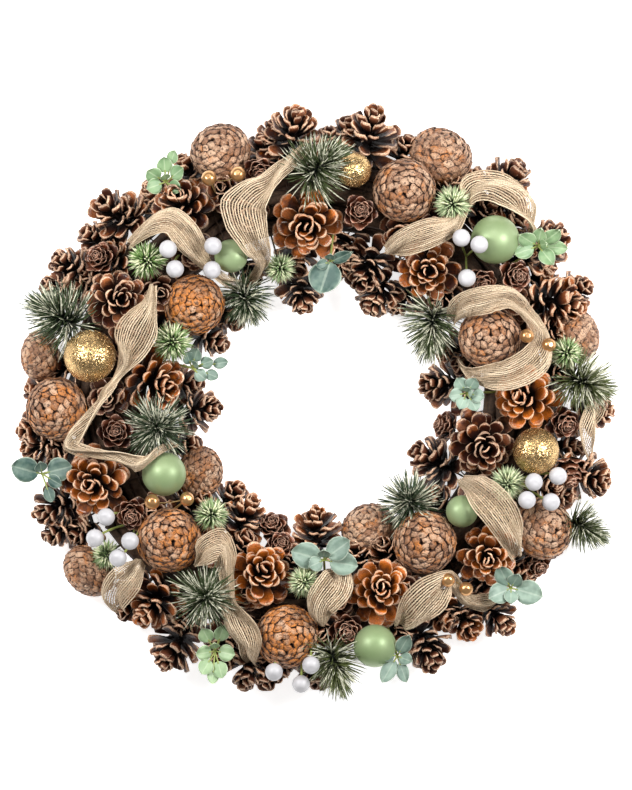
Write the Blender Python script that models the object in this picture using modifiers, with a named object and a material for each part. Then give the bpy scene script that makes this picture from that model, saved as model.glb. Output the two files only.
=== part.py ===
"""Christmas wreath of pine cones, baubles, burlap ribbon and artificial greenery, lying on its back.

Metres, with +Z out of the wreath's face and +Y to its top. The pieces sit where a photograph of
500 mm of wreath shows them, lifted to rest on a ring of vines. Scales, needles and leaves grow
until they would reach a neighbour, so that no two nodes overlap.
"""

import itertools
import math
from dataclasses import dataclass

import bmesh
import bpy
import numpy as np
from mathutils import Matrix, Vector
from mathutils.bvhtree import BVHTree
from mathutils.kdtree import KDTree

MM = 0.001

# The photograph's pixels, and the real length of one of them
PHOTO_CENTRE = (315.5, 398.0)
PIXEL = 0.84 * MM

# The vine ring: half an ellipse with a flat back
RING_RADIUS = 172 * MM
BASE_HALF_WIDTH = 36 * MM
BASE_HALF_HEIGHT = 30 * MM
BASE_MIDDLE = 6 * MM
BASE_STEPS = 38
BASE_SECTION_STEPS = 7
LOWEST_TILT = math.radians(25)
AXIS_FLATTENING = 0.8

# Gaps that keep one node from another
SEAT_GAP = 0.3 * MM
CELL_GAP = 0.35 * MM
WIRE_GAP = 1.7 * MM
RIBBON_GAP = 2.8 * MM
BASE_GAP = 0.9 * MM
FLOOR_HEIGHT = 1.5 * MM
SETTLE_GAP = 1.0 * MM
SETTLE_ROUNDS = 150
NEIGHBOUR_MARGIN = 15 * MM

# Wire stems, branches and ties, and where each is tried
STEM_RADIUS = 1.1 * MM
TIE_RADIUS = 2.0 * MM
WIRE_SIDES = 3
WIRE_END = 0.3
BRANCH_END = 0.8
WIDEST_GAP = WIRE_GAP + TIE_RADIUS
WIRE_SAMPLE = 2 * MM
STEM_TURNS = (0, 3, -3, 7, -7, 11, -11)
STEM_SHIFTS = (0, 12, -12, 24, -24, 30, -30)
HUB_DEPTHS = (10, 2, 18, 26)
HUB_OFFSETS = (0, 8, -8, 16, -16)
HUB_STEM_TRIES = 5
TIE_SHARES = (0.7, 0.5, 0.3, 0.1, 0.0, -0.2, -0.4)
FORK_STEP = 1.1 * MM
BLOCKED_COST = 20 * MM
FLATTEST_SLOPE = 0.35
WIRE_ROOT = 0.5

# How scales, needles and leaves grow into their room
GROWTH_STEP = 0.07
GROWTH_STEPS = 11
LEAST_SCALE = 0.5
LEAST_LEAF = 0.5
LEAST_NEEDLE = 0.1
NEEDLE_SAMPLES = (0.4, 0.6, 0.8, 1.03)
SCALE_PARTS = (-1.0, -0.5, 0.0, 0.5, 1.0)
SCALE_ROWS = (0.35, 0.5, 0.65, 0.8, 0.92)
SCALE_HALF_ROOT = 0.75
STUB_TURN = math.radians(18)

# Closed cones
CLOSED_SEGMENTS = 10
CLOSED_RINGS = 6
CLOSED_VALLEY = 0.87

# Balls, berries and beads: segments and rings
BALL_FACETS = (10, 7)
SMALL_BALL_FACETS = (6, 4)

# Greenery
LOWEST_BRISTLE = -0.75
SPRAY_FACETS = (5, 5)
TUFT_FACETS = (6, 5)
HUB_FACETS = (4, 3)
SPRAY_NEEDLE = 0.42
SPRAY_HALF_LENGTH = 0.2
SPRAY_TILTS = (-5, 80)
TWIG_RADIUS = 2.2 * MM
HUB_RADIUS = 2.2 * MM
LEAF_DEPTH = 1.6 * MM
LEAF_TURNS = (0, 73, -73, 146, -146)
LEAF_TILTS = (25, 10, 35, 20, 15)
LEAF_OUTLINE = ((0.0, 0.0), (0.24, -0.16), (0.47, -0.12), (0.47, 0.12), (0.24, 0.16))
LEAF_STALK = 0.6

# Burlap ribbon
RIBBON_THICKNESS = 0.9 * MM
RIBBON_STEP = 13 * MM
RIBBON_SAMPLE = 3 * MM
RIBBON_MARGIN = 1.9 * MM
RIBBON_ROUNDS = 25
LEAST_WEIGHT = 0.2
LEAST_ACROSS = 0.3

GOLDEN_ANGLE = math.pi * (3 - math.sqrt(5))
UP = np.array((0.0, 0.0, 1.0))


@dataclass(frozen=True)
class Kind:
    """Half sizes of a piece as shares of its width: its firm core, how far it reaches, and its lift."""

    core_across: float
    core_along: float
    reach_across: float
    reach_along: float
    lift: float


KINDS = {
    "open": Kind(0.17, 0.36, 0.52, 0.44, 22 * MM),
    "closed": Kind(0.50, 0.38, 0.50, 0.38, 23 * MM),
    "rose": Kind(0.22, 0.44, 0.54, 0.52, 25 * MM),
    "ball": Kind(0.50, 0.50, 0.50, 0.50, 36 * MM),
    "bead": Kind(0.50, 0.50, 0.50, 0.50, 46 * MM),
    "berry": Kind(0.50, 0.50, 0.50, 0.50, 54 * MM),
    "tuft": Kind(0.20, 0.20, 0.50, 0.50, 36 * MM),
    "spray": Kind(0.05, 0.22, 0.50, 0.50, 38 * MM),
    "sprig": Kind(0.05, 0.05, 0.50, 0.30, 46 * MM),
}


@dataclass
class Piece:
    """One cone, ball, berry or bit of greenery: its node, its pixel in the photograph and real width.

    The width and lift are in millimetres, and the axis leans off the vertical towards the heading,
    both in degrees. Without a lean the axis stands square to the ring's rounded face.
    """

    kind: str
    node: str
    pixel: tuple
    width: float
    lean: float = None
    heading: float = None
    lift: float = None

    def settle_on_ring(self):
        """Puts the piece on the ring's rounded face, below its pixel."""
        self.shape = KINDS[self.kind]
        lift = self.shape.lift if self.lift is None else self.lift * MM
        self.size = self.width * MM
        self.centre, outward = rest_on_ring(self.pixel, lift)
        self.axis = unit(outward * (AXIS_FLATTENING, AXIS_FLATTENING, 1))
        if self.lean is not None:
            lean, heading = math.radians(self.lean), math.radians(self.heading or 0)
            flat = math.sin(lean)
            self.axis = np.array((flat * math.cos(heading), flat * math.sin(heading), math.cos(lean)))

    def core(self, direction):
        """Distance from the centre to the firm core's tangent plane that faces the direction."""
        return self.tangent(direction, self.shape.core_across, self.shape.core_along)

    def reach(self, direction):
        """The same for how far the piece's scales, needles or leaves reach."""
        return self.tangent(direction, self.shape.reach_across, self.shape.reach_along)

    def tangent(self, direction, across, along):
        share = float(direction @ self.axis) ** 2
        return self.size * math.sqrt(across**2 * (1 - share) + along**2 * share)


# Bunches of cones: open pine cones, closed pine cones and small rose-like larch cones
CONES = (
    Piece("open", "cones_01", (369, 139), 58),
    Piece("closed", "cones_01", (440, 155), 58),
    Piece("closed", "cones_01", (406, 189), 54, 8, 200),
    Piece("rose", "cones_01", (361, 212), 27, 10, 90),
    Piece("open", "cones_02", (505, 184), 52),
    Piece("open", "cones_02", (542, 246), 54),
    Piece("rose", "cones_02", (481, 281), 24, 30, 300),
    Piece("rose", "cones_02", (516, 276), 26, 25, 0),
    Piece("open", "cones_02", (556, 304), 58, 60, 350),
    Piece("closed", "cones_02", (577, 335), 46, 80, 10),
    Piece("open", "cones_03", (429, 270), 54, 5, 270),
    Piece("open", "cones_03", (369, 270), 52, 45, 245),
    Piece("open", "cones_03", (377, 292), 44),
    Piece("closed", "cones_04", (490, 338), 54, 5, 0),
    Piece("open", "cones_04", (446, 383), 52),
    Piece("open", "cones_04", (524, 398), 58, 15, 160),
    Piece("rose", "cones_04", (447, 426), 26),
    Piece("open", "cones_04", (483, 445), 60, 10, 300),
    Piece("open", "cones_04", (436, 462), 52),
    Piece("rose", "cones_05", (564, 422), 27, 30, 320),
    Piece("open", "cones_05", (591, 411), 44),
    Piece("rose", "cones_05", (571, 470), 34, 60, 280),
    Piece("open", "cones_05", (585, 476), 46),
    Piece("closed", "cones_05", (547, 524), 54, 45, 15),
    Piece("rose", "cones_05", (535, 563), 28, 40, 320),
    Piece("open", "cones_05", (487, 556), 54, 10, 270),
    Piece("open", "cones_05", (494, 613), 48),
    Piece("open", "cones_05", (462, 617), 46),
    Piece("closed", "cones_06", (369, 528), 48),
    Piece("closed", "cones_06", (427, 541), 54, 10, 250),
    Piece("open", "cones_06", (381, 590), 58, 5, 90),
    Piece("rose", "cones_06", (346, 630), 28, 20, 300),
    Piece("open", "cones_06", (425, 644), 52),
    Piece("open", "cones_07", (317, 533), 50),
    Piece("rose", "cones_07", (272, 527), 27, 30, 90),
    Piece("rose", "cones_07", (280, 546), 25, 20, 60),
    Piece("open", "cones_07", (242, 518), 48),
    Piece("open", "cones_07", (261, 574), 60, 10, 60),
    Piece("closed", "cones_08", (287, 636), 54, 15, 290),
    Piece("open", "cones_08", (248, 666), 46),
    Piece("open", "cones_08", (226, 646), 46),
    Piece("open", "cones_08", (176, 646), 52),
    Piece("open", "cones_08", (155, 602), 54),
    Piece("closed", "cones_09", (90, 570), 48, 75, 225),
    Piece("closed", "cones_09", (169, 540), 55, 8, 40),
    Piece("rose", "cones_09", (131, 514), 26, 15, 270),
    Piece("closed", "cones_09", (200, 473), 46, 60, 350),
    Piece("open", "cones_09", (155, 384), 56, 35, 340),
    Piece("open", "cones_09", (196, 410), 46),
    Piece("open", "cones_10", (95, 483), 60, 8, 200),
    Piece("open", "cones_10", (60, 505), 52),
    Piece("open", "cones_10", (44, 443), 44),
    Piece("closed", "cones_10", (57, 408), 54, 25, 190),
    Piece("rose", "cones_10", (116, 433), 28, 10, 90),
    Piece("closed", "cones_10", (42, 358), 44, 80, 175),
    Piece("open", "cones_11", (118, 300), 52, 12, 30),
    Piece("rose", "cones_11", (101, 258), 27, 30, 150),
    Piece("open", "cones_11", (74, 268), 48),
    Piece("open", "cones_11", (118, 216), 54, 55, 140),
    Piece("closed", "cones_11", (193, 304), 52, 20, 300),
    Piece("open", "cones_12", (183, 206), 58, 30, 120),
    Piece("closed", "cones_12", (220, 150), 54, 40, 110),
    Piece("rose", "cones_12", (260, 171), 26, 25, 270),
    Piece("open", "cones_12", (293, 138), 58, 50, 80),
    Piece("open", "cones_12", (307, 225), 62, 4, 250),
    Piece("open", "cones_12", (301, 292), 42),
)

# Baubles, and pairs of gold beads on one wire
BALLS = (
    Piece("ball", "green_ball_1", (231, 256), 28),
    Piece("ball", "green_ball_2", (494, 240), 41),
    Piece("ball", "green_ball_3", (164, 474), 37),
    Piece("ball", "green_ball_4", (375, 646), 36),
    Piece("ball", "green_ball_5", (460, 513), 27, lift=30),
    Piece("ball", "gold_ball_1", (354, 170), 29),
    Piece("ball", "gold_ball_2", (90, 356), 44),
    Piece("ball", "gold_ball_3", (536, 451), 39),
    Piece("bead", "gold_beads_1", (209, 178), 13),
    Piece("bead", "gold_beads_1", (238, 174), 13),
    Piece("bead", "gold_beads_2", (527, 336), 12),
    Piece("bead", "gold_beads_2", (549, 345), 12),
    Piece("bead", "gold_beads_3", (152, 502), 13),
    Piece("bead", "gold_beads_3", (187, 499), 12),
    Piece("bead", "gold_beads_4", (448, 580), 12),
    Piece("bead", "gold_beads_4", (466, 589), 12),
)

# Greenery: frosted pine sprays, round needle tufts, eucalyptus sprigs and picks of white berries
GREENERY = (
    Piece("spray", "pine_spray_1", (318, 168), 60, 50, 40),
    Piece("spray", "pine_spray_2", (245, 298), 52, 40, 290),
    Piece("tuft", "pine_spray_2", (280, 268), 27),
    Piece("spray", "pine_spray_3", (432, 325), 56, 60, 260),
    Piece("spray", "pine_spray_4", (62, 318), 62, 60, 150),
    Piece("spray", "pine_spray_5", (157, 428), 60, 5, 0),
    Piece("spray", "pine_spray_6", (206, 597), 60, 5, 0),
    Piece("sprig", "pine_spray_6", (215, 651), 42, heading=270),
    Piece("spray", "pine_spray_7", (410, 503), 56, 15, 110),
    Piece("spray", "pine_spray_8", (334, 662), 54, 60, 285),
    Piece("spray", "pine_spray_9", (574, 527), 46, 70, 330),
    Piece("spray", "pine_spray_10", (583, 382), 56, 50, 340),
    Piece("tuft", "pine_spray_10", (566, 353), 28),
    Piece("tuft", "needle_tuft_1", (172, 342), 34),
    Piece("sprig", "needle_tuft_1", (192, 368), 36, heading=20),
    Piece("tuft", "needle_tuft_2", (211, 515), 29),
    Piece("tuft", "needle_tuft_3", (304, 582), 28),
    Piece("sprig", "needle_tuft_3", (324, 560), 46, heading=80),
    Piece("sprig", "eucalyptus_1", (162, 178), 44, heading=80),
    Piece("sprig", "eucalyptus_2", (330, 262), 34, heading=45),
    Piece("sprig", "eucalyptus_3", (538, 246), 44, heading=0),
    Piece("sprig", "eucalyptus_4", (42, 474), 40, heading=130),
    Piece("sprig", "eucalyptus_5", (467, 393), 34, heading=110),
    Piece("sprig", "eucalyptus_6", (517, 588), 36, heading=330),
    Piece("sprig", "eucalyptus_7", (396, 661), 36, heading=300),
    Piece("berry", "berry_pick_1", (168, 249), 15),
    Piece("berry", "berry_pick_1", (175, 269), 15),
    Piece("berry", "berry_pick_1", (213, 246), 15),
    Piece("berry", "berry_pick_1", (212, 270), 15),
    Piece("tuft", "berry_pick_1", (147, 261), 32),
    Piece("berry", "berry_pick_2", (462, 238), 15),
    Piece("berry", "berry_pick_2", (480, 244), 15),
    Piece("berry", "berry_pick_2", (467, 278), 15),
    Piece("tuft", "berry_pick_2", (453, 204), 31),
    Piece("berry", "berry_pick_3", (106, 517), 15),
    Piece("berry", "berry_pick_3", (95, 538), 15),
    Piece("berry", "berry_pick_3", (130, 541), 15),
    Piece("berry", "berry_pick_3", (118, 558), 15),
    Piece("tuft", "berry_pick_3", (106, 556), 26, lift=30),
    Piece("berry", "berry_pick_4", (311, 665), 15),
    Piece("berry", "berry_pick_4", (301, 684), 15),
    Piece("berry", "berry_pick_4", (274, 672), 15),
    Piece("berry", "berry_pick_5", (534, 482), 15),
    Piece("berry", "berry_pick_5", (558, 476), 15),
    Piece("berry", "berry_pick_5", (527, 500), 15),
    Piece("berry", "berry_pick_5", (551, 502), 15),
    Piece("tuft", "berry_pick_5", (507, 484), 30),
)

# Burlap ribbon: pixel, height above the ring's face in mm, width in mm and roll in degrees
RIBBONS = {
    "ribbon_1": (
        ((306, 148), 30, 10, 0), ((284, 168), 42, 15, 10), ((266, 187), 50, 20, 20),
        ((244, 206), 54, 42, 0), ((252, 236), 50, 28, 0), ((262, 262), 38, 12, 0),
        ((246, 280), 26, 12, 0), ((222, 279), 26, 12, 0), ((204, 262), 32, 12, 0),
        ((190, 241), 40, 24, 0), ((171, 221), 46, 24, 0), ((148, 229), 40, 14, 0), ((130, 246), 26, 8, 0),
    ),
    "ribbon_2": (
        ((389, 250), 28, 12, 0), ((408, 240), 40, 24, 0), ((432, 232), 46, 25, 0),
        ((452, 226), 42, 16, 0), ((463, 206), 34, 14, 0), ((474, 190), 44, 26, 0),
        ((495, 187), 58, 34, 0), ((514, 196), 58, 34, 0), ((527, 218), 46, 20, 0), ((533, 238), 28, 8, 0),
    ),
    "ribbon_3": (
        ((455, 322), 26, 14, 0), ((464, 306), 42, 22, 0), ((486, 300), 50, 24, 0),
        ((508, 298), 44, 18, 0), ((527, 314), 34, 12, 0), ((541, 336), 34, 16, 0),
        ((534, 360), 44, 28, 0), ((508, 375), 48, 26, 0), ((482, 374), 40, 20, 0), ((461, 360), 26, 8, 0),
    ),
    "ribbon_4": (
        ((153, 286), 30, 6, 0), ((149, 305), 44, 14, 0), ((138, 328), 50, 36, 0),
        ((128, 350), 40, 28, 0), ((114, 376), 34, 12, 0), ((103, 403), 44, 12, 60),
        ((84, 428), 48, 16, 60), ((70, 445), 46, 16, 30), ((92, 450), 48, 12, 60),
        ((120, 455), 46, 12, 60), ((147, 466), 46, 14, 40), ((172, 459), 38, 8, 0),
    ),
    "ribbon_5": (
        ((141, 562), 26, 10, 0), ((128, 578), 40, 28, 0), ((115, 594), 40, 30, 0), ((122, 610), 24, 12, 0),
    ),
    "ribbon_6": (
        ((192, 562), 26, 8, 0), ((206, 551), 42, 24, 0), ((220, 545), 46, 30, 0),
        ((226, 570), 38, 14, 0), ((229, 604), 36, 14, 0), ((239, 622), 42, 24, 0),
        ((251, 642), 42, 24, 0), ((252, 663), 28, 10, 0),
    ),
    "ribbon_7": (
        ((497, 596), 26, 8, 0), ((484, 602), 34, 18, 0), ((468, 600), 30, 12, 0),
        ((448, 578), 36, 14, 0), ((435, 591), 46, 32, 0), ((418, 607), 46, 34, 0), ((401, 624), 28, 12, 0),
    ),
    "ribbon_8": (
        ((462, 481), 26, 10, 0), ((478, 490), 42, 26, 0), ((496, 508), 48, 32, 0),
        ((510, 532), 44, 26, 0), ((516, 556), 28, 12, 0),
    ),
    "ribbon_9": (
        ((341, 571), 26, 14, 0), ((334, 588), 44, 32, 0), ((322, 603), 44, 28, 0), ((320, 624), 26, 10, 0),
    ),
    "ribbon_10": (
        ((589, 388), 24, 8, 0), ((592, 405), 34, 16, 0), ((586, 428), 38, 20, 0), ((586, 452), 32, 12, 0),
        ((591, 466), 22, 6, 0),
    ),
}


# Small vector helpers
def unit(vector):
    vector = np.asarray(vector, float)
    return vector / np.linalg.norm(vector)


def sideways(axis):
    """Two unit vectors square to the axis and to each other."""
    helper = UP if abs(axis[2]) < 0.9 else np.array((0.0, 1.0, 0.0))
    first = unit(np.cross(axis, helper))
    return first, np.cross(axis, first)


def mix(low, high, share):
    return low + (high - low) * share


# Where things rest
def flat_place(pixel):
    """A pixel as a distance from the ring's centre, and the unit vector that way."""
    x = (pixel[0] - PHOTO_CENTRE[0]) * PIXEL
    y = (PHOTO_CENTRE[1] - pixel[1]) * PIXEL
    distance = math.hypot(x, y)
    return distance, np.array((x / distance, y / distance, 0.0))


def rest_on_ring(pixel, lift):
    """The point below a pixel that lies lift off the ring's rounded face, and the way out from the ring."""
    distance, radial = flat_place(pixel)
    limit = math.cos(LOWEST_TILT)
    outward = max(-limit, min(limit, (distance - RING_RADIUS) / (BASE_HALF_WIDTH + lift)))
    upward = math.sqrt(1 - outward**2)
    height = BASE_MIDDLE + (BASE_HALF_HEIGHT + lift) * upward
    return radial * distance + UP * height, radial * outward + UP * upward


def base_gap(point):
    """Rough distance from a point to the ring's rounded face, below zero inside it."""
    across = (math.hypot(point[0], point[1]) - RING_RADIUS) / BASE_HALF_WIDTH
    upward = (point[2] - BASE_MIDDLE) / BASE_HALF_HEIGHT
    return (math.hypot(across, upward) - 1) * BASE_HALF_HEIGHT


def settle(pieces):
    """Pushes firm cores apart until they clear each other and the ring."""
    pairs = []
    for index, one in enumerate(pieces):
        for other in pieces[index + 1 :]:
            if np.linalg.norm(other.centre - one.centre) < one.size + other.size + NEIGHBOUR_MARGIN:
                pairs.append((one, other))
    for _ in range(SETTLE_ROUNDS):
        for one, other in pairs:
            between = other.centre - one.centre
            distance = np.linalg.norm(between)
            way = between / distance
            lacking = one.core(way) + other.core(-way) + SETTLE_GAP - distance
            if lacking > 0:
                one.centre = one.centre - way * lacking / 2
                other.centre = other.centre + way * lacking / 2
        for piece in pieces:
            outward = piece.centre - ring_middle(piece.centre)
            lacking = piece.core(unit(outward)) + BASE_GAP - base_gap(piece.centre)
            if lacking > 0:
                piece.centre = piece.centre + unit(outward) * lacking
            piece.centre[2] = max(piece.centre[2], piece.core(-UP) + FLOOR_HEIGHT)


def ring_middle(point):
    """The nearest point of the circle that runs along the middle of the ring."""
    distance = math.hypot(point[0], point[1])
    scale = RING_RADIUS / distance
    return np.array((point[0] * scale, point[1] * scale, BASE_MIDDLE))


# Space that other nodes leave
class Crowd:
    """Every piece and every wire or ribbon, asked by a growing scale, needle or leaf for its room."""

    def __init__(self, pieces):
        self.pieces = pieces
        self.nodes = np.array([piece.node for piece in pieces])
        self.centres = np.array([piece.centre for piece in pieces])
        self.axes = np.array([piece.axis for piece in pieces])
        self.half_across = np.array([piece.shape.core_across * piece.size for piece in pieces])
        self.half_along = np.array([piece.shape.core_along * piece.size for piece in pieces])
        self.points = []
        self.owners = []
        self.gaps = []
        self.tree = None
        self.walls = {}

    def add_points(self, node, points, gap):
        """Adds a wire's or ribbon's sample points, that other nodes keep the gap from."""
        self.points += [Vector(point) for point in points]
        self.owners += [node] * len(points)
        self.gaps += [gap] * len(points)
        self.tree = KDTree(len(self.points))
        for index, point in enumerate(self.points):
            self.tree.insert(point, index)
        self.tree.balance()

    def core_gaps(self, node, points):
        """Least distances from each point to the firm core of each piece of another node."""
        offset = np.asarray(points)[:, None, :] - self.centres[None]
        along = np.einsum("pij,ij->pi", offset, self.axes)
        across = np.linalg.norm(offset - along[..., None] * self.axes[None], axis=2)
        shortest = np.minimum(self.half_across, self.half_along)
        gaps = (np.hypot(across / self.half_across, along / self.half_along) - 1) * shortest
        gaps[:, self.nodes == node] = np.inf
        return gaps

    def walls_of(self, piece):
        """Normals and distances of the planes between a piece and its neighbours."""
        key = id(piece)
        if key not in self.walls:
            walls = [plane_between(piece, other) for other in self.pieces if other is not piece]
            walls = [wall for wall in walls if wall]
            self.walls[key] = (
                np.array([normal for normal, _ in walls]).reshape(-1, 3),
                np.array([limit for _, limit in walls]),
            )
        return self.walls[key]

    def free(self, piece, points):
        """Whether all the points lie in the piece's own cell, clear of ring, floor, wires and ribbons."""
        points = np.asarray(points)
        normals, limits = self.walls_of(piece)
        if points[:, 2].min() < FLOOR_HEIGHT or (points @ normals.T > limits).any():
            return False
        if min(base_gap(point) for point in points) < BASE_GAP:
            return False
        return all(self.clear_of_wires(piece.node, point) for point in points)

    def clear_of_wires(self, node, point, extra=0.0):
        """Whether a point keeps each foreign wire's and ribbon's gap, and the extra distance."""
        if self.tree is None:
            return True
        for _, index, distance in self.tree.find_range(Vector(point), WIDEST_GAP + extra):
            if self.owners[index] != node and distance < self.gaps[index] + extra:
                return False
        return True


def plane_between(piece, other):
    """The wall between two pieces: next to a firm one, and shared out between two that can give way."""
    between = other.centre - piece.centre
    distance = np.linalg.norm(between)
    way = between / distance
    if distance > piece.reach(way) + other.reach(-way) + 2 * CELL_GAP:
        return None
    core, reach = piece.core(way), piece.reach(way)
    other_core, other_reach = other.core(-way), other.reach(-way)
    give, other_give = reach - core, other_reach - other_core
    share = 0.5 if give + other_give < 1e-6 else give / (give + other_give)
    wall = core + (distance - core - other_core) * share
    return way, float(piece.centre @ way) + wall - CELL_GAP


# Solid shapes
def mesh_object(name, mesh_maker):
    """A new object whose mesh the given function builds in a bmesh."""
    mesh = bpy.data.meshes.new(name)
    bm = bmesh.new()
    mesh_maker(bm)
    bm.normal_update()
    bm.to_mesh(mesh)
    bm.free()
    shape = bpy.data.objects.new(name, mesh)
    bpy.context.scene.collection.objects.link(shape)
    return shape


def axis_matrix(centre, axis):
    """The transform that takes local +Z to the axis and the origin to the centre."""
    first, second = sideways(axis)
    columns = np.array((first, second, axis, centre)).T
    return Matrix([*columns.tolist(), (0, 0, 0, 1)])


def wire(start, end, radius, end_radius):
    """A straight three-sided wire between two points."""
    start, end = np.asarray(start), np.asarray(end)

    def build(bm):
        bmesh.ops.create_cone(
            bm,
            cap_ends=True,
            segments=WIRE_SIDES,
            radius1=radius,
            radius2=end_radius,
            depth=float(np.linalg.norm(end - start)),
            matrix=axis_matrix((start + end) / 2, unit(end - start)),
        )

    return mesh_object("wire", build)


def sphere(centre, radius, facets):
    segments, rings = facets

    def build(bm):
        place = Matrix.Translation(Vector(centre))
        bmesh.ops.create_uvsphere(bm, u_segments=segments, v_segments=rings, radius=radius, matrix=place)

    return mesh_object("sphere", build)


def grown(crowd, piece, least, spread):
    """The greatest share of full size at which all the spread-out points are free, or None if under least."""
    for step in range(GROWTH_STEPS):
        share = 1 - GROWTH_STEP * step
        if share < least:
            return None
        if crowd.free(piece, spread(share)):
            return share
    return None


def grown_leaf(crowd, piece, way, normal):
    """A rounded leaf that grows from the sprig's middle until it would leave the piece's room."""
    across = np.cross(normal, way)

    def corners(share):
        offsets = [way * (along * share) + across * side for along, side in LEAF_OUTLINE]
        return [piece.centre + offset * piece.size for offset in offsets]

    def keel(outline):
        return sum(outline) / len(outline) - normal * LEAF_DEPTH

    def spread(share):
        outline = corners(share)
        rim = outline[1:]
        middles = [(one + other) / 2 for one, other in zip(rim, rim[1:])]
        sides = [mix(outline[0], rim[0], LEAF_STALK), mix(outline[0], rim[-1], LEAF_STALK)]
        return [*rim, *middles, *sides, keel(outline)]

    share = grown(crowd, piece, LEAST_LEAF, spread)
    return leaf(corners(share), keel(corners(share))) if share else None


def leaf(outline, keel):
    """A leaf with a flat top, thickest at its keel."""

    def build(bm):
        rim = [bm.verts.new(corner) for corner in outline]
        low = bm.verts.new(keel)
        bm.faces.new(rim)
        for one, other in zip(rim, rim[1:] + rim[:1]):
            bm.faces.new((other, one, low))
        bmesh.ops.recalc_face_normals(bm, faces=bm.faces)

    return mesh_object("leaf", build)


def bristled(crowd, piece, facets, half_across, half_along, bristle):
    """A rounded body whose every facet is drawn out into a needle, as far as there is room.

    bristle(level, radial) gives a facet's needle direction and length from its level along the
    piece's axis, -1 to 1, and its sideways direction.
    """

    def build(bm):
        bmesh.ops.create_uvsphere(bm, u_segments=facets[0], v_segments=facets[1], radius=1.0)
        bmesh.ops.triangulate(bm, faces=bm.faces)
        bmesh.ops.scale(bm, vec=(half_across, half_across, half_along), verts=bm.verts)
        bmesh.ops.transform(bm, matrix=axis_matrix(piece.centre, piece.axis), verts=bm.verts)
        centres = [np.array(face.calc_center_median()) for face in bm.faces]
        for face, middle in zip(list(bm.faces), centres):
            level = float((middle - piece.centre) @ piece.axis) / half_along
            if level < LOWEST_BRISTLE:
                continue
            radial = middle - piece.centre
            radial = unit(radial - (radial @ piece.axis) * piece.axis)
            way, length = bristle(level, radial)
            full = way * length
            share = grown(crowd, piece, LEAST_NEEDLE, lambda share: needle_points(middle, full * share))
            if share:
                poked = bmesh.ops.poke(bm, faces=[face])["verts"][0]
                poked.co = Vector(middle + full * share)

    return mesh_object("bristled", build)


def needle_points(root, needle):
    return [root + needle * part for part in NEEDLE_SAMPLES]


# Cones
@dataclass(frozen=True)
class Whorl:
    """One ring of scales round a cone, in shares of its width: place along it, tilt, length, half width."""

    along: float
    tilt: float
    length: float
    half_width: float


@dataclass(frozen=True)
class ScaledCone:
    """A cone of scales: how many stand in a whorl, the whorls from its stem up, and its core."""

    scales: int
    whorls: tuple
    bottom: float
    top: float
    waist: float
    valley: float


OPEN_WHORLS = (Whorl(-0.20, -4, 0.52, 0.21), Whorl(-0.02, 26, 0.48, 0.17), Whorl(0.12, 60, 0.31, 0.11))
OPEN_CONE = ScaledCone(5, OPEN_WHORLS, bottom=-0.34, top=0.28, waist=0.12, valley=0.15)
ROSE_WHORLS = (Whorl(-0.18, 18, 0.52, 0.29), Whorl(0.05, 50, 0.46, 0.21))
ROSE_CONE = ScaledCone(4, ROSE_WHORLS, bottom=-0.42, top=0.24, waist=0.17, valley=0.20)


@dataclass
class ConeFrame:
    """Turns a cone's own measures, as shares of its width, into places."""

    piece: Piece

    def __post_init__(self):
        self.first, self.second = sideways(self.piece.axis)

    def radial(self, turn):
        return self.first * math.cos(turn) + self.second * math.sin(turn)

    def at(self, turn, along, across):
        return self.piece.centre + (self.piece.axis * along + self.radial(turn) * across) * self.piece.size


def scale_corners(crowd, frame, cone, whorl, turn):
    """The outer corners of one scale, grown as far as there is room, or of a stub where there is none."""
    piece = frame.piece
    tilt = math.radians(whorl.tilt)
    way = frame.radial(turn) * math.cos(tilt) + piece.axis * math.sin(tilt)
    side = np.cross(piece.axis, frame.radial(turn)) * whorl.half_width * piece.size
    root = frame.at(turn, whorl.along, 0)
    half_root = piece.axis * cone.waist * SCALE_HALF_ROOT * piece.size

    def edge(share):
        return [root + way * (whorl.length * piece.size * share) + side * part for part in SCALE_PARTS]

    def spread(share):
        samples = edge(share)
        for end in edge(share):
            for part in SCALE_ROWS:
                samples += [mix(root + half_root, end, part), mix(root - half_root, end, part)]
        return samples

    share = grown(crowd, piece, LEAST_SCALE, spread)
    if share:
        left, *_, right = edge(share)
        return left, right
    return [frame.at(turn + stub, whorl.along, cone.valley) for stub in (-STUB_TURN, STUB_TURN)]


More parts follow.
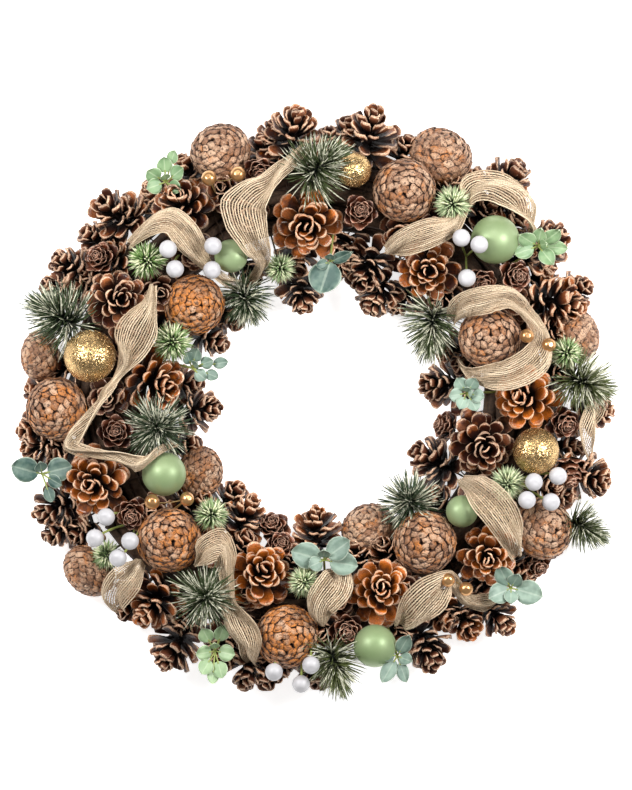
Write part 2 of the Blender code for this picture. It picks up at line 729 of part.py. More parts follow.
def scaled_cone(crowd, piece, cone, first_turn):
    """A cone as one closed skin: whorls of scales with valleys between, and a waist between whorls."""
    frame = ConeFrame(piece)
    half_step = math.pi / cone.scales

    def rim(level, whorl):
        corners = []
        tilt = math.radians(whorl.tilt)
        for index in range(cone.scales):
            turn = first_turn + half_step * (level + 2 * index)
            valley = frame.at(turn + half_step, whorl.along + 0.5 * cone.valley * math.sin(tilt), cone.valley)
            corners += [*scale_corners(crowd, frame, cone, whorl, turn), valley]
        return corners

    def waist(level):
        height = (cone.whorls[level].along + cone.whorls[level + 1].along) / 2
        turns = (first_turn + half_step * (level + 2 * index) for index in range(cone.scales))
        return [frame.at(turn, height, cone.waist) for turn in turns]

    def build(bm):
        below = [bm.verts.new(frame.at(0, cone.bottom, 0))] * cone.scales
        for level, whorl in enumerate(cone.whorls):
            ring = [bm.verts.new(corner) for corner in rim(level, whorl)]
            if level < len(cone.whorls) - 1:
                above = [bm.verts.new(corner) for corner in waist(level)]
            else:
                above = [bm.verts.new(frame.at(0, cone.top, 0))] * cone.scales
            for index in range(cone.scales):
                following = (index + 1) % cone.scales
                left, right, valley = ring[3 * index : 3 * index + 3]
                over, next_over = above[index], above[following]
                under, before = below[index], below[index - 1]
                loops = [(left, right, over), (right, valley, over), (valley, ring[3 * following], next_over)]
                loops += [(right, left, before), (valley, right, under), (ring[3 * following], valley, under)]
                loops += [(valley, next_over, over), (right, before, under)]
                for loop in loops:
                    if len(set(loop)) == len(loop):
                        bm.faces.new(loop)
            # The next whorl starts half a step further on, so its first valley follows the second waist
            below = above[1:] + above[:1]
        bmesh.ops.recalc_face_normals(bm, faces=bm.faces)

    return mesh_object("cone", build)


def closed_cone(piece):
    """A closed cone: an egg whose surface rises to a point at every scale, in staggered rings."""
    across, along = piece.shape.core_across * piece.size, piece.shape.core_along * piece.size

    def build(bm):
        bmesh.ops.create_uvsphere(bm, u_segments=CLOSED_SEGMENTS, v_segments=CLOSED_RINGS, radius=1.0)
        for vertex in bm.verts:
            ring = round(math.acos(max(-1, min(1, vertex.co.z))) / math.pi * CLOSED_RINGS)
            segment = round(math.atan2(vertex.co.y, vertex.co.x) / math.tau * CLOSED_SEGMENTS)
            if 0 < ring < CLOSED_RINGS and (ring + segment) % 2:
                vertex.co *= CLOSED_VALLEY
        bmesh.ops.scale(bm, vec=(across, across, along), verts=bm.verts)
        bmesh.ops.transform(bm, matrix=axis_matrix(piece.centre, piece.axis), verts=bm.verts)

    return mesh_object("closed_cone", build)


def pine_spray(crowd, piece):
    """A twig with needles all round it, that point forward more and more towards its tip."""

    def bristle(level, radial):
        tilt = math.radians(mix(*SPRAY_TILTS, (level + 1) / 2))
        return radial * math.cos(tilt) + piece.axis * math.sin(tilt), SPRAY_NEEDLE * piece.size

    return bristled(crowd, piece, SPRAY_FACETS, TWIG_RADIUS, SPRAY_HALF_LENGTH * piece.size, bristle)


def needle_tuft(crowd, piece):
    """A small ball bristling with short spikes."""
    core = piece.shape.core_across * piece.size

    def bristle(level, radial):
        return radial * math.sqrt(1 - min(1, level**2)) + piece.axis * level, 0.5 * piece.size - core

    return bristled(crowd, piece, TUFT_FACETS, core, core, bristle)


def eucalyptus_sprig(crowd, piece):
    """Five rounded leaves on short stalks, the first one along the sprig's heading."""
    heading = math.radians(piece.heading)
    shapes = [sphere(piece.centre, HUB_RADIUS, HUB_FACETS)]
    for turn, tilt in zip(LEAF_TURNS, LEAF_TILTS):
        angle = heading + math.radians(turn)
        level = np.array((math.cos(angle), math.sin(angle), 0.0))
        way = unit(level * math.cos(math.radians(tilt)) + UP * math.sin(math.radians(tilt)))
        normal = unit(np.cross(np.cross(way, UP), way))
        shapes.append(grown_leaf(crowd, piece, way, normal))
    return [shape for shape in shapes if shape]


# Ribbons
def smooth_path(points, step):
    """Points about a step apart on a Catmull-Rom curve through the given rows."""
    rows = [2 * points[0] - points[1], *points, 2 * points[-1] - points[-2]]
    path = []
    for before, start, end, after in zip(rows, rows[1:], rows[2:], rows[3:]):
        pieces = max(1, round(np.linalg.norm((end - start)[:3]) / step))
        for index in range(pieces):
            t = index / pieces
            path.append(
                0.5
                * (
                    2 * start
                    + (end - before) * t
                    + (2 * before - 5 * start + 4 * end - after) * t**2
                    + (3 * start - before - 3 * end + after) * t**3
                )
            )
    return [*path, points[-1]]


def ribbon_rows(node, stations, crowd):
    """Rows of three points across a ribbon, pushed clear of every firm core."""
    given = []
    for pixel, lift, width, roll in stations:
        place, _ = rest_on_ring(pixel, lift * MM)
        given.append(np.array((*place, width * MM, math.radians(roll))))
    path = smooth_path(given, RIBBON_STEP)
    rows = []
    side = None
    for index, row in enumerate(path):
        tangent = unit((path[min(index + 1, len(path) - 1)] - path[max(index - 1, 0)])[:3])
        outward = unit(row[:3] - ring_middle(row[:3]))
        across = np.cross(tangent, outward)
        across = unit(across) if side is None or np.linalg.norm(across) > LEAST_ACROSS else side
        if side is not None and across @ side < 0:
            across = -across
        side = across
        turned = across * math.cos(row[4]) + np.cross(tangent, across) * math.sin(row[4])
        rows.append([row[:3] + turned * row[3] * share for share in (-0.5, 0.0, 0.5)])
    rows = np.array(rows)
    for _ in range(RIBBON_ROUNDS):
        if not push_strip(node, rows, crowd):
            break
    return rows


def push_strip(node, rows, crowd):
    """Moves a strip's points away from what any of its samples comes too close to; whether any did."""
    moves = np.zeros_like(rows)
    weights, points = strip_samples(rows)
    gaps = crowd.core_gaps(node, points)
    nearest = gaps.argmin(axis=1)
    for point, share, gap, index in zip(points, weights, gaps.min(axis=1), nearest):
        push = np.zeros(3)
        if gap < RIBBON_MARGIN:
            push += unit(point - crowd.centres[index]) * (RIBBON_MARGIN - gap)
        lacking = RIBBON_MARGIN - base_gap(point)
        if lacking > 0:
            push += unit(point - ring_middle(point)) * lacking
        if push.any():
            for (row, column), weight in share:
                if weight > LEAST_WEIGHT and push @ push > moves[row, column] @ moves[row, column]:
                    moves[row, column] = push
    rows += moves
    return moves.any()


def strip_samples(rows):
    """Points all over a strip, with the corners each lies between and their weights."""
    weights, points = [], []
    for row in range(len(rows) - 1):
        for column in range(2):
            corners = ((row, column), (row, column + 1), (row + 1, column), (row + 1, column + 1))
            near, near_side, far, _ = (rows[corner] for corner in corners)
            long_count = max(1, math.ceil(np.linalg.norm(far - near) / RIBBON_SAMPLE))
            wide_count = max(1, math.ceil(np.linalg.norm(near_side - near) / RIBBON_SAMPLE))
            for i in range(long_count + 1):
                for j in range(wide_count + 1):
                    u, v = i / long_count, j / wide_count
                    shares = ((1 - u) * (1 - v), (1 - u) * v, u * (1 - v), u * v)
                    weights.append(tuple(zip(corners, shares)))
                    points.append(sum(rows[corner] * share for corner, share in zip(corners, shares)))
    return weights, np.array(points)


def strip(node, rows):
    """A closed strip of cloth through rows of three points."""

    def build(bm):
        grid = [[bm.verts.new(point) for point in row] for row in rows]
        for one, other in zip(grid, grid[1:]):
            for index in range(2):
                bm.faces.new((one[index], one[index + 1], other[index + 1], other[index]))

    shape = mesh_object(node, build)
    solid = shape.modifiers.new("Cloth thickness", "SOLIDIFY")
    solid.thickness = RIBBON_THICKNESS
    solid.offset = 0
    apply_modifiers(shape)
    return shape


# Stems and ties
def line_samples(start, end):
    count = max(1, math.ceil(np.linalg.norm(end - start) / WIRE_SAMPLE))
    return [mix(start, end, index / count) for index in range(count + 1)]


def blocked_samples(crowd, node, start, end, radius):
    """How much of a wire's line other nodes' cores, wires and ribbons are in the way of."""
    points = line_samples(start, end)
    blocked = sum(not crowd.clear_of_wires(node, point, radius) for point in points)
    return blocked + int((crowd.core_gaps(node, points).min(axis=1) < radius + SETTLE_GAP).sum())


def stem_to_base(crowd, base_tree, node, start, radius, turns=STEM_TURNS, shifts=STEM_SHIFTS):
    """The clearest short line from a start point to just off the ring's face: its cost and end."""
    best = (math.inf, None)
    angle = math.atan2(start[1], start[0])
    for turn in turns:
        for shift in shifts:
            heading = angle + math.radians(turn)
            distance = RING_RADIUS + shift * MM
            target = np.array((math.cos(heading) * distance, math.sin(heading) * distance, BASE_MIDDLE))
            way = unit(target - start)
            hit, normal, _, length = base_tree.ray_cast(Vector(start), Vector(way))
            if hit is None:
                continue
            slope = -float(np.array(normal) @ way)
            if slope < FLATTEST_SLOPE:
                continue
            end = start + way * (length - SEAT_GAP / slope)
            cost = length + BLOCKED_COST * blocked_samples(crowd, node, start, end, radius)
            if cost < best[0]:
                best = (cost, end)
    return best


def wire_root(piece, share):
    """The place in a piece's core where a wire starts, that share of the way to the core's lower end."""
    return piece.centre - piece.axis * piece.shape.core_along * piece.size * share


def pick_wires(crowd, base_tree, members):
    """Where a pick's branches meet and where its stem ends, found by trying places near its middle."""
    node = members[0].node
    if len(members) == 1:
        piece = members[0]
        start = wire_root(piece, WIRE_ROOT)
        return start, stem_to_base(crowd, base_tree, node, start, STEM_RADIUS)[1]
    small = [piece.centre for piece in members if piece.kind in ("berry", "bead")]
    middle = sum(small) / len(small) if small else members[0].centre
    outward = unit(middle - ring_middle(middle))
    first, second = sideways(outward)
    tries = STEM_TURNS[:HUB_STEM_TRIES], STEM_SHIFTS[:HUB_STEM_TRIES]
    best = (math.inf, None, None)
    for depth, east, north in itertools.product(HUB_DEPTHS, HUB_OFFSETS, HUB_OFFSETS):
        hub = middle + (first * east + second * north - outward * depth) * MM
        cost = math.hypot(east, north) * MM * len(members)
        for piece in members:
            cost += blocked_samples(crowd, node, hub, piece.centre, STEM_RADIUS) * BLOCKED_COST
        if base_gap(hub) < 3 * STEM_RADIUS or cost > best[0]:
            continue
        stem_cost, end = stem_to_base(crowd, base_tree, node, hub, STEM_RADIUS, *tries)
        if cost + stem_cost < best[0]:
            best = (cost + stem_cost, hub, end)
    return best[1:]


def tie_ends(one, other):
    """A tie's ends, as low in both cones' cores as it clears the ring."""
    for share in TIE_SHARES:
        ends = [wire_root(one, share), wire_root(other, share)]
        if min(base_gap(point) for point in line_samples(*ends)) > TIE_RADIUS + BASE_GAP:
            break
    return ends


def nearest_links(pieces):
    """Pairs of pieces that join a bunch together by its shortest gaps."""
    joined, waiting, links = [pieces[0]], list(pieces[1:]), []
    while waiting:
        pairs = itertools.product(joined, waiting)
        one, other = min(pairs, key=lambda pair: np.linalg.norm(pair[0].centre - pair[1].centre))
        links.append((one, other))
        joined.append(other)
        waiting.remove(other)
    return links


# Nodes
COLOURS = {
    "vine": ((0.16, 0.09, 0.05), 0.9, 0.0),
    "cone": ((0.23, 0.10, 0.045), 0.65, 0.0),
    "green_ball": ((0.32, 0.50, 0.27), 0.35, 0.0),
    "gold": ((0.62, 0.42, 0.14), 0.3, 0.9),
    "burlap": ((0.50, 0.38, 0.23), 0.9, 0.0),
    "needle": ((0.16, 0.26, 0.17), 0.7, 0.0),
    "eucalyptus": ((0.27, 0.42, 0.35), 0.6, 0.0),
    "berry": ((0.85, 0.84, 0.86), 0.4, 0.0),
}
NODE_COLOURS = (
    ("cones", "cone"),
    ("green_ball", "green_ball"),
    ("gold", "gold"),
    ("ribbon", "burlap"),
    ("pine_spray", "needle"),
    ("needle_tuft", "needle"),
    ("eucalyptus", "eucalyptus"),
    ("berry_pick", "berry"),
    ("base_ring", "vine"),
)


def material(name):
    found = bpy.data.materials.get(name)
    if found:
        return found
    colour, roughness, metallic = COLOURS[name]
    made = bpy.data.materials.new(name)
    made.use_nodes = True
    shader = made.node_tree.nodes["Principled BSDF"]
    shader.inputs["Base Color"].default_value = (*colour, 1.0)
    shader.inputs["Roughness"].default_value = roughness
    shader.inputs["Metallic"].default_value = metallic
    return made


def finish_node(name, shape, collection):
    """Names a finished solid, gives it its material and moves it to the wreath's collection."""
    shape.name = name
    shape.data.name = name
    shape.data.materials.clear()
    colour = next(colour for start, colour in NODE_COLOURS if name.startswith(start))
    shape.data.materials.append(material(colour))
    bpy.context.scene.collection.objects.unlink(shape)
    collection.objects.link(shape)


def apply_modifiers(shape):
    graph = bpy.context.evaluated_depsgraph_get()
    made = bpy.data.meshes.new_from_object(shape.evaluated_get(graph))
    shape.modifiers.clear()
    shape.data = made


def fused(shapes):
    """One solid made of all the shapes, with any loose scrap dropped."""
    body = shapes[0]
    others = bpy.data.collections.new("Shapes to join")
    bpy.context.scene.collection.children.link(others)
    for shape in shapes[1:]:
        bpy.context.scene.collection.objects.unlink(shape)
        others.objects.link(shape)
    union = body.modifiers.new("Join", "BOOLEAN")
    union.operation = "UNION"
    union.operand_type = "COLLECTION"
    union.collection = others
    union.solver = "MANIFOLD"
    apply_modifiers(body)
    for shape in shapes[1:]:
        bpy.data.objects.remove(shape)
    bpy.data.collections.remove(others)
    keep_largest_body(body.data)
    return body


def keep_largest_body(mesh):
    """Deletes every loose body of a mesh but its largest."""
    bm = bmesh.new()
    bm.from_mesh(mesh)
    unseen = set(bm.verts)
    bodies = []
    while unseen:
        front = [unseen.pop()]
        body = set(front)
        while front:
            linked = {vertex for edge in front.pop().link_edges for vertex in edge.verts} & unseen
            unseen -= linked
            body |= linked
            front += linked
        bodies.append(body)
    bodies.sort(key=len)
    for body in bodies[:-1]:
        bmesh.ops.delete(bm, geom=list(body), context="VERTS")
    bm.to_mesh(mesh)
    bm.free()


def centre_on_origin(shapes):
    """Moves all the shapes together, so that the middle of the wreath's outline lies over the origin."""
    corners = np.array([vertex.co[:] for shape in shapes for vertex in shape.data.vertices])
    middle = (corners.min(axis=0) + corners.max(axis=0)) / 2
    for shape in shapes:
        shape.data.transform(Matrix.Translation((-middle[0], -middle[1], 0.0)))


def base_ring():
    """The vine ring: its D-shaped section turned round the centre."""
    lowest = -math.asin(BASE_MIDDLE / BASE_HALF_HEIGHT)

    def build(bm):
        section = []
        for index in range(BASE_SECTION_STEPS + 1):
            angle = mix(lowest, math.pi - lowest, index / BASE_SECTION_STEPS)
            across = RING_RADIUS + BASE_HALF_WIDTH * math.cos(angle)
            upward = max(0.0, BASE_MIDDLE + BASE_HALF_HEIGHT * math.sin(angle))
            section.append(bm.verts.new((across, 0.0, upward)))
        for one, other in zip(section, section[1:] + section[:1]):
            bm.edges.new((one, other))

    shape = mesh_object("base_ring", build)
    turned = shape.modifiers.new("Turn", "SCREW")
    turned.axis = "Z"
    turned.angle = math.tau
    turned.steps = turned.render_steps = BASE_STEPS
    turned.use_merge_vertices = True
    turned.merge_threshold = 0.05 * MM
    turned.use_normal_calculate = True
    turned.use_normal_flip = True
    apply_modifiers(shape)
    return shape


def cone_shapes(crowd, piece, index):
    turn = index * GOLDEN_ANGLE
    if piece.kind == "closed":
        return [closed_cone(piece)]
    return [scaled_cone(crowd, piece, OPEN_CONE if piece.kind == "open" else ROSE_CONE, turn)]


def pick_shapes(crowd, piece):
    if piece.kind == "spray":
        return [pine_spray(crowd, piece)]
    if piece.kind == "tuft":
        return [needle_tuft(crowd, piece)]
    if piece.kind == "sprig":
        return eucalyptus_sprig(crowd, piece)
    return [sphere(piece.centre, piece.size / 2, BALL_FACETS if piece.kind == "ball" else SMALL_BALL_FACETS)]


def node_names(pieces):
    return list(dict.fromkeys(piece.node for piece in pieces))


def tie_cones(crowd, nodes):
    """Joins the cones of each bunch with wire ties."""
    for node in node_names(CONES):
        nodes[node] = []
        for link in nearest_links([piece for piece in CONES if piece.node == node]):
            start, end = tie_ends(*link)
            nodes[node].append(wire(start, end, TIE_RADIUS, TIE_RADIUS))
            crowd.add_points(node, line_samples(start, end), WIRE_GAP + TIE_RADIUS)


def lay_ribbons(crowd, nodes):
    """Lays each ribbon over the firm cores: the two ends of every ribbon, by node."""
    ends = {}
    for node, stations in RIBBONS.items():
        rows = ribbon_rows(node, stations, crowd)
        nodes[node] = [strip(node, rows)]
        ends[node] = rows[0][1], rows[-1][1]
        crowd.add_points(node, strip_samples(rows)[1], RIBBON_GAP)
    return ends


def seat_ribbons(crowd, nodes, base_tree, ribbon_ends):
    """Pins each ribbon to the ring with a wire from the end that has the clearer way down."""
    for node, starts in ribbon_ends.items():
        pins = [(*stem_to_base(crowd, base_tree, node, start, STEM_RADIUS), start) for start in starts]
        _, end, start = min(pins, key=lambda pin: pin[0])
        nodes[node].append(wire(start, end, STEM_RADIUS, WIRE_END * STEM_RADIUS))
        crowd.add_points(node, line_samples(start, end), WIRE_GAP + STEM_RADIUS)


def seat_cones(crowd, nodes, base_tree):
    """Seats each bunch of cones on the ring with one stalk, where the way down is clearest."""
    for node in node_names(CONES):
        stalks = []
        for piece in CONES:
            if piece.node == node:
                start = wire_root(piece, WIRE_ROOT)
                stalks.append((*stem_to_base(crowd, base_tree, node, start, TIE_RADIUS), start))
        _, end, start = min(stalks, key=lambda stalk: stalk[0])
        nodes[node].append(wire(start, end, TIE_RADIUS, WIRE_END * TIE_RADIUS))
        crowd.add_points(node, line_samples(start, end), WIRE_GAP + TIE_RADIUS)


def seat_picks(crowd, nodes, base_tree):
    """Gives each ball or pick its stem down to the ring, and a bunched pick its branches."""
    picks = [*BALLS, *GREENERY]
    for node in node_names(picks):
        members = [piece for piece in picks if piece.node == node]
        hub, end = pick_wires(crowd, base_tree, members)
        nodes[node] = [wire(hub, end, STEM_RADIUS, WIRE_END * STEM_RADIUS)]
        crowd.add_points(node, line_samples(hub, end), WIRE_GAP + STEM_RADIUS)
        for index, piece in enumerate(members if len(members) > 1 else ()):
            fork = hub + unit(end - hub) * FORK_STEP * (index + 1)
            nodes[node].append(wire(fork, piece.centre, STEM_RADIUS, BRANCH_END * STEM_RADIUS))
            crowd.add_points(node, line_samples(fork, piece.centre), WIRE_GAP + STEM_RADIUS)


def main():
    for old in list(bpy.data.objects):
        bpy.data.objects.remove(old)
    collection = bpy.data.collections.new("Christmas wreath")
    bpy.context.scene.collection.children.link(collection)

    pieces = [*CONES, *BALLS, *GREENERY]
    for piece in pieces:
        piece.settle_on_ring()
    settle(pieces)
    crowd = Crowd(pieces)
    ring = base_ring()
    base_tree = BVHTree.FromObject(ring, bpy.context.evaluated_depsgraph_get())

    # Each step keeps clear of what the steps before it laid, and scales, needles and leaves of it all
    nodes = {}
    tie_cones(crowd, nodes)
    ribbon_ends = lay_ribbons(crowd, nodes)
    seat_cones(crowd, nodes, base_tree)
    seat_ribbons(crowd, nodes, base_tree, ribbon_ends)
    seat_picks(crowd, nodes, base_tree)
    for index, piece in enumerate(pieces):
        shapes = cone_shapes(crowd, piece, index) if piece in CONES else pick_shapes(crowd, piece)
        nodes[piece.node] = shapes + nodes[piece.node]

    solids = {name: fused(shapes) if len(shapes) > 1 else shapes[0] for name, shapes in nodes.items()}
    solids["base_ring"] = ring
    centre_on_origin(solids.values())
    for name, shape in solids.items():
        finish_node(name, shape, collection)


if __name__ == "__main__":
    main()
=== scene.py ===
"""Looks of a christmas wreath: pine cones, baubles, burlap ribbon and greenery on a ring of vines.

Metres, with +Z out of the wreath's face and +Y to its top. Every piece is placed by the rule that
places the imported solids: below its pixel in the photograph, lifted to rest on the ring, and pushed
clear of its neighbours' firm cores.
"""

import logging
import math
from collections.abc import Callable, Iterable, Sequence
from dataclasses import asdict, dataclass, field, fields, replace
from enum import Enum

import bpy
import numpy as np
from mathutils import Euler, Matrix, Vector


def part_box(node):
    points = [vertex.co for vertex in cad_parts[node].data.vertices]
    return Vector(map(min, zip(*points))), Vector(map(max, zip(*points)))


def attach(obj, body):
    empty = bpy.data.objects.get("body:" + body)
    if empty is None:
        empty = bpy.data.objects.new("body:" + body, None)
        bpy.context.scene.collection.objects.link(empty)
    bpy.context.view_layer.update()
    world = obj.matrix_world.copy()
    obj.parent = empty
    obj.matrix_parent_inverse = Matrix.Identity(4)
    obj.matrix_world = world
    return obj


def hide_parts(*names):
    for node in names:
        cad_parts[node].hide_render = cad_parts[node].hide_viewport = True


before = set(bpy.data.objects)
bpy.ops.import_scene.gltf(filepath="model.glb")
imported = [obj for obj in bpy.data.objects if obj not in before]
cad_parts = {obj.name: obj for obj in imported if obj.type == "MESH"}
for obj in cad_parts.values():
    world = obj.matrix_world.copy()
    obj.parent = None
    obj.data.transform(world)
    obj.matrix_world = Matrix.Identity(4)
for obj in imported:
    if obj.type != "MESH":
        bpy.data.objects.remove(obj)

log = logging.getLogger("wreath")

MM = 0.001
BODY = "root"
GOLDEN_ANGLE = math.pi * (3 - math.sqrt(5))
UP = np.array((0.0, 0.0, 1.0))
Colour = tuple[float, float, float]
Array = np.ndarray

# The photograph's pixels, and the real length of one of them
PHOTO_CENTRE = (315.5, 398.0)
PHOTO_SIZE = (632, 790)
PIXEL = 0.84 * MM

# The vine ring: half an ellipse with a flat back
RING_RADIUS = 172 * MM
BASE_HALF_WIDTH = 36 * MM
BASE_HALF_HEIGHT = 30 * MM
BASE_MIDDLE = 6 * MM
LOWEST_TILT = math.radians(25)
AXIS_FLATTENING = 0.8

# Nothing lies lower than the back or far above the tallest solid
LEAST_HEIGHT = 0.3 * MM
MOST_HEIGHT = 109 * MM

# How the firm cores settle beside each other, and where their wires start and end
BASE_GAP = 0.9 * MM
FLOOR_HEIGHT = 1.5 * MM
SETTLE_GAP = 1.0 * MM
SETTLE_ROUNDS = 150
NEIGHBOUR_MARGIN = 15 * MM
WIRE_ROOT = 0.75
WIRE_DEPTH = 3 * MM

# Rows of the burlap ribbon
RIBBON_STEP = 13 * MM
RIBBON_SAMPLE = 3 * MM
RIBBON_MARGIN = 1.9 * MM
RIBBON_ROUNDS = 25
LEAST_WEIGHT = 0.2
LEAST_ACROSS = 0.3


class Kind(Enum):
    """What a piece is: its firm core's half sizes as shares of its width, and its lift in mm."""

    OPEN = (0.17, 0.36, 22)
    CLOSED = (0.50, 0.38, 23)
    ROSE = (0.22, 0.44, 25)
    BALL = (0.50, 0.50, 36)
    BEAD = (0.50, 0.50, 46)
    BERRY = (0.50, 0.50, 54)
    TUFT = (0.20, 0.20, 36)
    SPRAY = (0.05, 0.22, 38)
    SPRIG = (0.05, 0.05, 46)


OPEN, CLOSED, ROSE, BALL, BEAD, BERRY, TUFT, SPRAY, SPRIG = Kind

# The pieces by node: kind, pixel, width in mm, warmth, lean, heading and lift. First the cones
PIECES = {
    "cones_01": (
        (OPEN, 369, 139, 58, 0.35), (CLOSED, 439, 158, 55, 0.3), (CLOSED, 406, 189, 54, 0.3, 8, 200),
        (ROSE, 361, 212, 27, 0.4, 10, 90),
    ),
    "cones_02": (
        (OPEN, 505, 184, 52, 0.2), (OPEN, 542, 246, 54, 0.3), (ROSE, 481, 281, 24, 0.4, 30, 300),
        (ROSE, 516, 276, 26, 0.4, 25, 0), (OPEN, 556, 304, 58, 0.6, 60, 350),
        (CLOSED, 577, 335, 46, 0.3, 80, 10),
    ),
    "cones_03": (
        (OPEN, 429, 270, 54, 0.6, 5, 270), (OPEN, 369, 270, 52, 0.25, 45, 245),
        (OPEN, 377, 292, 44, 0.15),
    ),
    "cones_04": (
        (CLOSED, 490, 338, 54, 0.35, 5, 0), (OPEN, 446, 383, 52, 0.2), (OPEN, 524, 398, 58, 0.9, 15, 160),
        (ROSE, 447, 426, 26), (OPEN, 483, 445, 60, 0.3, 10, 300), (OPEN, 436, 462, 52, 0.2),
    ),
    "cones_05": (
        (ROSE, 564, 422, 27, 0.4, 30, 320), (OPEN, 591, 411, 44, 0.3), (ROSE, 571, 470, 34, 0.8, 60, 280),
        (OPEN, 585, 476, 46), (CLOSED, 547, 524, 54, 0.35, 45, 15), (ROSE, 535, 563, 28, 0.4, 40, 320),
        (OPEN, 487, 556, 54, 0.7, 10, 270), (OPEN, 494, 613, 48), (OPEN, 462, 617, 46, 0.6),
    ),
    "cones_06": (
        (CLOSED, 369, 528, 48, 0.3), (CLOSED, 427, 541, 54, 0.4, 10, 250),
        (OPEN, 381, 590, 58, 0.85, 5, 90), (ROSE, 346, 630, 28, 0.4, 20, 300), (OPEN, 425, 644, 52, 0.2),
    ),
    "cones_07": (
        (OPEN, 317, 533, 50, 0.5), (ROSE, 272, 527, 27, 0.4, 30, 90), (ROSE, 280, 546, 25, 0.4, 20, 60),
        (OPEN, 242, 518, 48, 0.5), (OPEN, 261, 574, 60, 0.75, 10, 60),
    ),
    "cones_08": (
        (CLOSED, 287, 636, 54, 0.7, 15, 290), (OPEN, 248, 666, 46, 0.3), (OPEN, 226, 646, 46, 0.15),
        (OPEN, 176, 646, 52, 0.3), (OPEN, 155, 602, 54, 0.6),
    ),
    "cones_09": (
        (CLOSED, 90, 570, 48, 0.4, 75, 225), (CLOSED, 169, 540, 55, 0.6, 8, 40),
        (ROSE, 131, 514, 26, 0.4, 15, 270), (CLOSED, 200, 473, 46, 0.35, 60, 350),
        (OPEN, 155, 384, 56, 0.7, 35, 340), (OPEN, 196, 410, 46, 0.15),
    ),
    "cones_10": (
        (OPEN, 95, 483, 60, 0.65, 8, 200), (OPEN, 60, 505, 52, 0.25), (OPEN, 44, 443, 44, 0.25),
        (CLOSED, 57, 408, 54, 0.45, 25, 190), (ROSE, 116, 433, 28, 0.4, 10, 90),
        (CLOSED, 42, 358, 44, 0.3, 80, 175),
    ),
    "cones_11": (
        (OPEN, 118, 300, 52, 0.3, 12, 30), (ROSE, 101, 258, 27, 0.4, 30, 150), (OPEN, 74, 268, 48, 0.1),
        (OPEN, 118, 216, 54, 0.3, 55, 140), (CLOSED, 193, 304, 52, 0.7, 20, 300),
    ),
    "cones_12": (
        (OPEN, 183, 206, 58, 0.45, 30, 120), (CLOSED, 221, 153, 52, 0.25, 40, 110),
        (ROSE, 260, 171, 26, 0.4, 25, 270), (OPEN, 293, 138, 58, 0.4, 50, 80),
        (OPEN, 307, 225, 62, 0.65, 4, 250), (OPEN, 301, 292, 42, 0.2),
    ),
    # Baubles, and pairs of gold beads on one wire
    "green_ball_1": ((BALL, 231, 256, 28),),
    "green_ball_2": ((BALL, 494, 240, 41),),
    "green_ball_3": ((BALL, 164, 474, 37),),
    "green_ball_4": ((BALL, 375, 646, 36),),
    "green_ball_5": ((BALL, 460, 513, 27, 0.4, None, None, 30),),
    "gold_ball_1": ((BALL, 354, 170, 29),),
    "gold_ball_2": ((BALL, 90, 356, 44),),
    "gold_ball_3": ((BALL, 536, 451, 39),),
    "gold_beads_1": ((BEAD, 209, 178, 13), (BEAD, 238, 174, 13)),
    "gold_beads_2": ((BEAD, 527, 336, 12), (BEAD, 549, 345, 12)),
    "gold_beads_3": ((BEAD, 152, 502, 13), (BEAD, 187, 499, 12)),
    "gold_beads_4": ((BEAD, 448, 580, 12), (BEAD, 466, 589, 12)),
    # Frosted pine sprays, round needle tufts, eucalyptus sprigs and picks of white berries
    "pine_spray_1": ((SPRAY, 318, 168, 60, 0.35, 50, 40),),
    "pine_spray_2": ((SPRAY, 245, 298, 52, 0.05, 40, 290), (TUFT, 280, 268, 27, 0.6)),
    "pine_spray_3": ((SPRAY, 432, 325, 56, 0.3, 60, 260),),
    "pine_spray_4": ((SPRAY, 62, 318, 62, 0.1, 60, 150),),
    "pine_spray_5": ((SPRAY, 157, 428, 60, 0.0, 5, 0),),
    "pine_spray_6": ((SPRAY, 206, 597, 60, 0.2, 5, 0), (SPRIG, 215, 651, 42)),
    "pine_spray_7": ((SPRAY, 410, 503, 56, 0.0, 15, 110),),
    "pine_spray_8": ((SPRAY, 334, 662, 54, 0.7, 60, 285),),
    "pine_spray_9": ((SPRAY, 570, 526, 44, 0.4, 70, 330),),
    "pine_spray_10": ((SPRAY, 583, 382, 56, 0.7, 50, 340), (TUFT, 566, 353, 28, 0.3)),
    "needle_tuft_1": ((TUFT, 172, 342, 34, 0.2), (SPRIG, 192, 368, 36)),
    "needle_tuft_2": ((TUFT, 211, 515, 29, 0.5),),
    "needle_tuft_3": ((TUFT, 304, 582, 28, 0.8), (SPRIG, 324, 560, 46)),
    "eucalyptus_1": ((SPRIG, 166, 182, 44),),
    "eucalyptus_2": ((SPRIG, 330, 262, 34),),
    "eucalyptus_3": ((SPRIG, 538, 246, 44),),
    "eucalyptus_4": ((SPRIG, 42, 474, 40),),
    "eucalyptus_5": ((SPRIG, 467, 393, 34),),
    "eucalyptus_6": ((SPRIG, 511, 588, 36),),
    "eucalyptus_7": ((SPRIG, 397, 656, 36),),
    "berry_pick_1": (
        (BERRY, 168, 249, 15), (BERRY, 175, 269, 15), (BERRY, 213, 246, 15), (BERRY, 212, 270, 15),
        (TUFT, 147, 261, 32, 0.05),
    ),
    "berry_pick_2": (
        (BERRY, 462, 238, 15), (BERRY, 480, 244, 15), (BERRY, 467, 278, 15), (TUFT, 453, 204, 31, 0.8),
    ),
    "berry_pick_3": (
        (BERRY, 106, 517, 15), (BERRY, 95, 538, 15), (BERRY, 130, 541, 15), (BERRY, 118, 558, 15),
        (TUFT, 106, 556, 26, 0.4, None, None, 30),
    ),
    "berry_pick_4": ((BERRY, 311, 665, 15), (BERRY, 301, 684, 15), (BERRY, 274, 672, 15)),
    "berry_pick_5": (
        (BERRY, 534, 482, 15), (BERRY, 558, 476, 15), (BERRY, 527, 500, 15), (BERRY, 551, 502, 15),
        (TUFT, 507, 484, 30, 1.0),
    ),
}

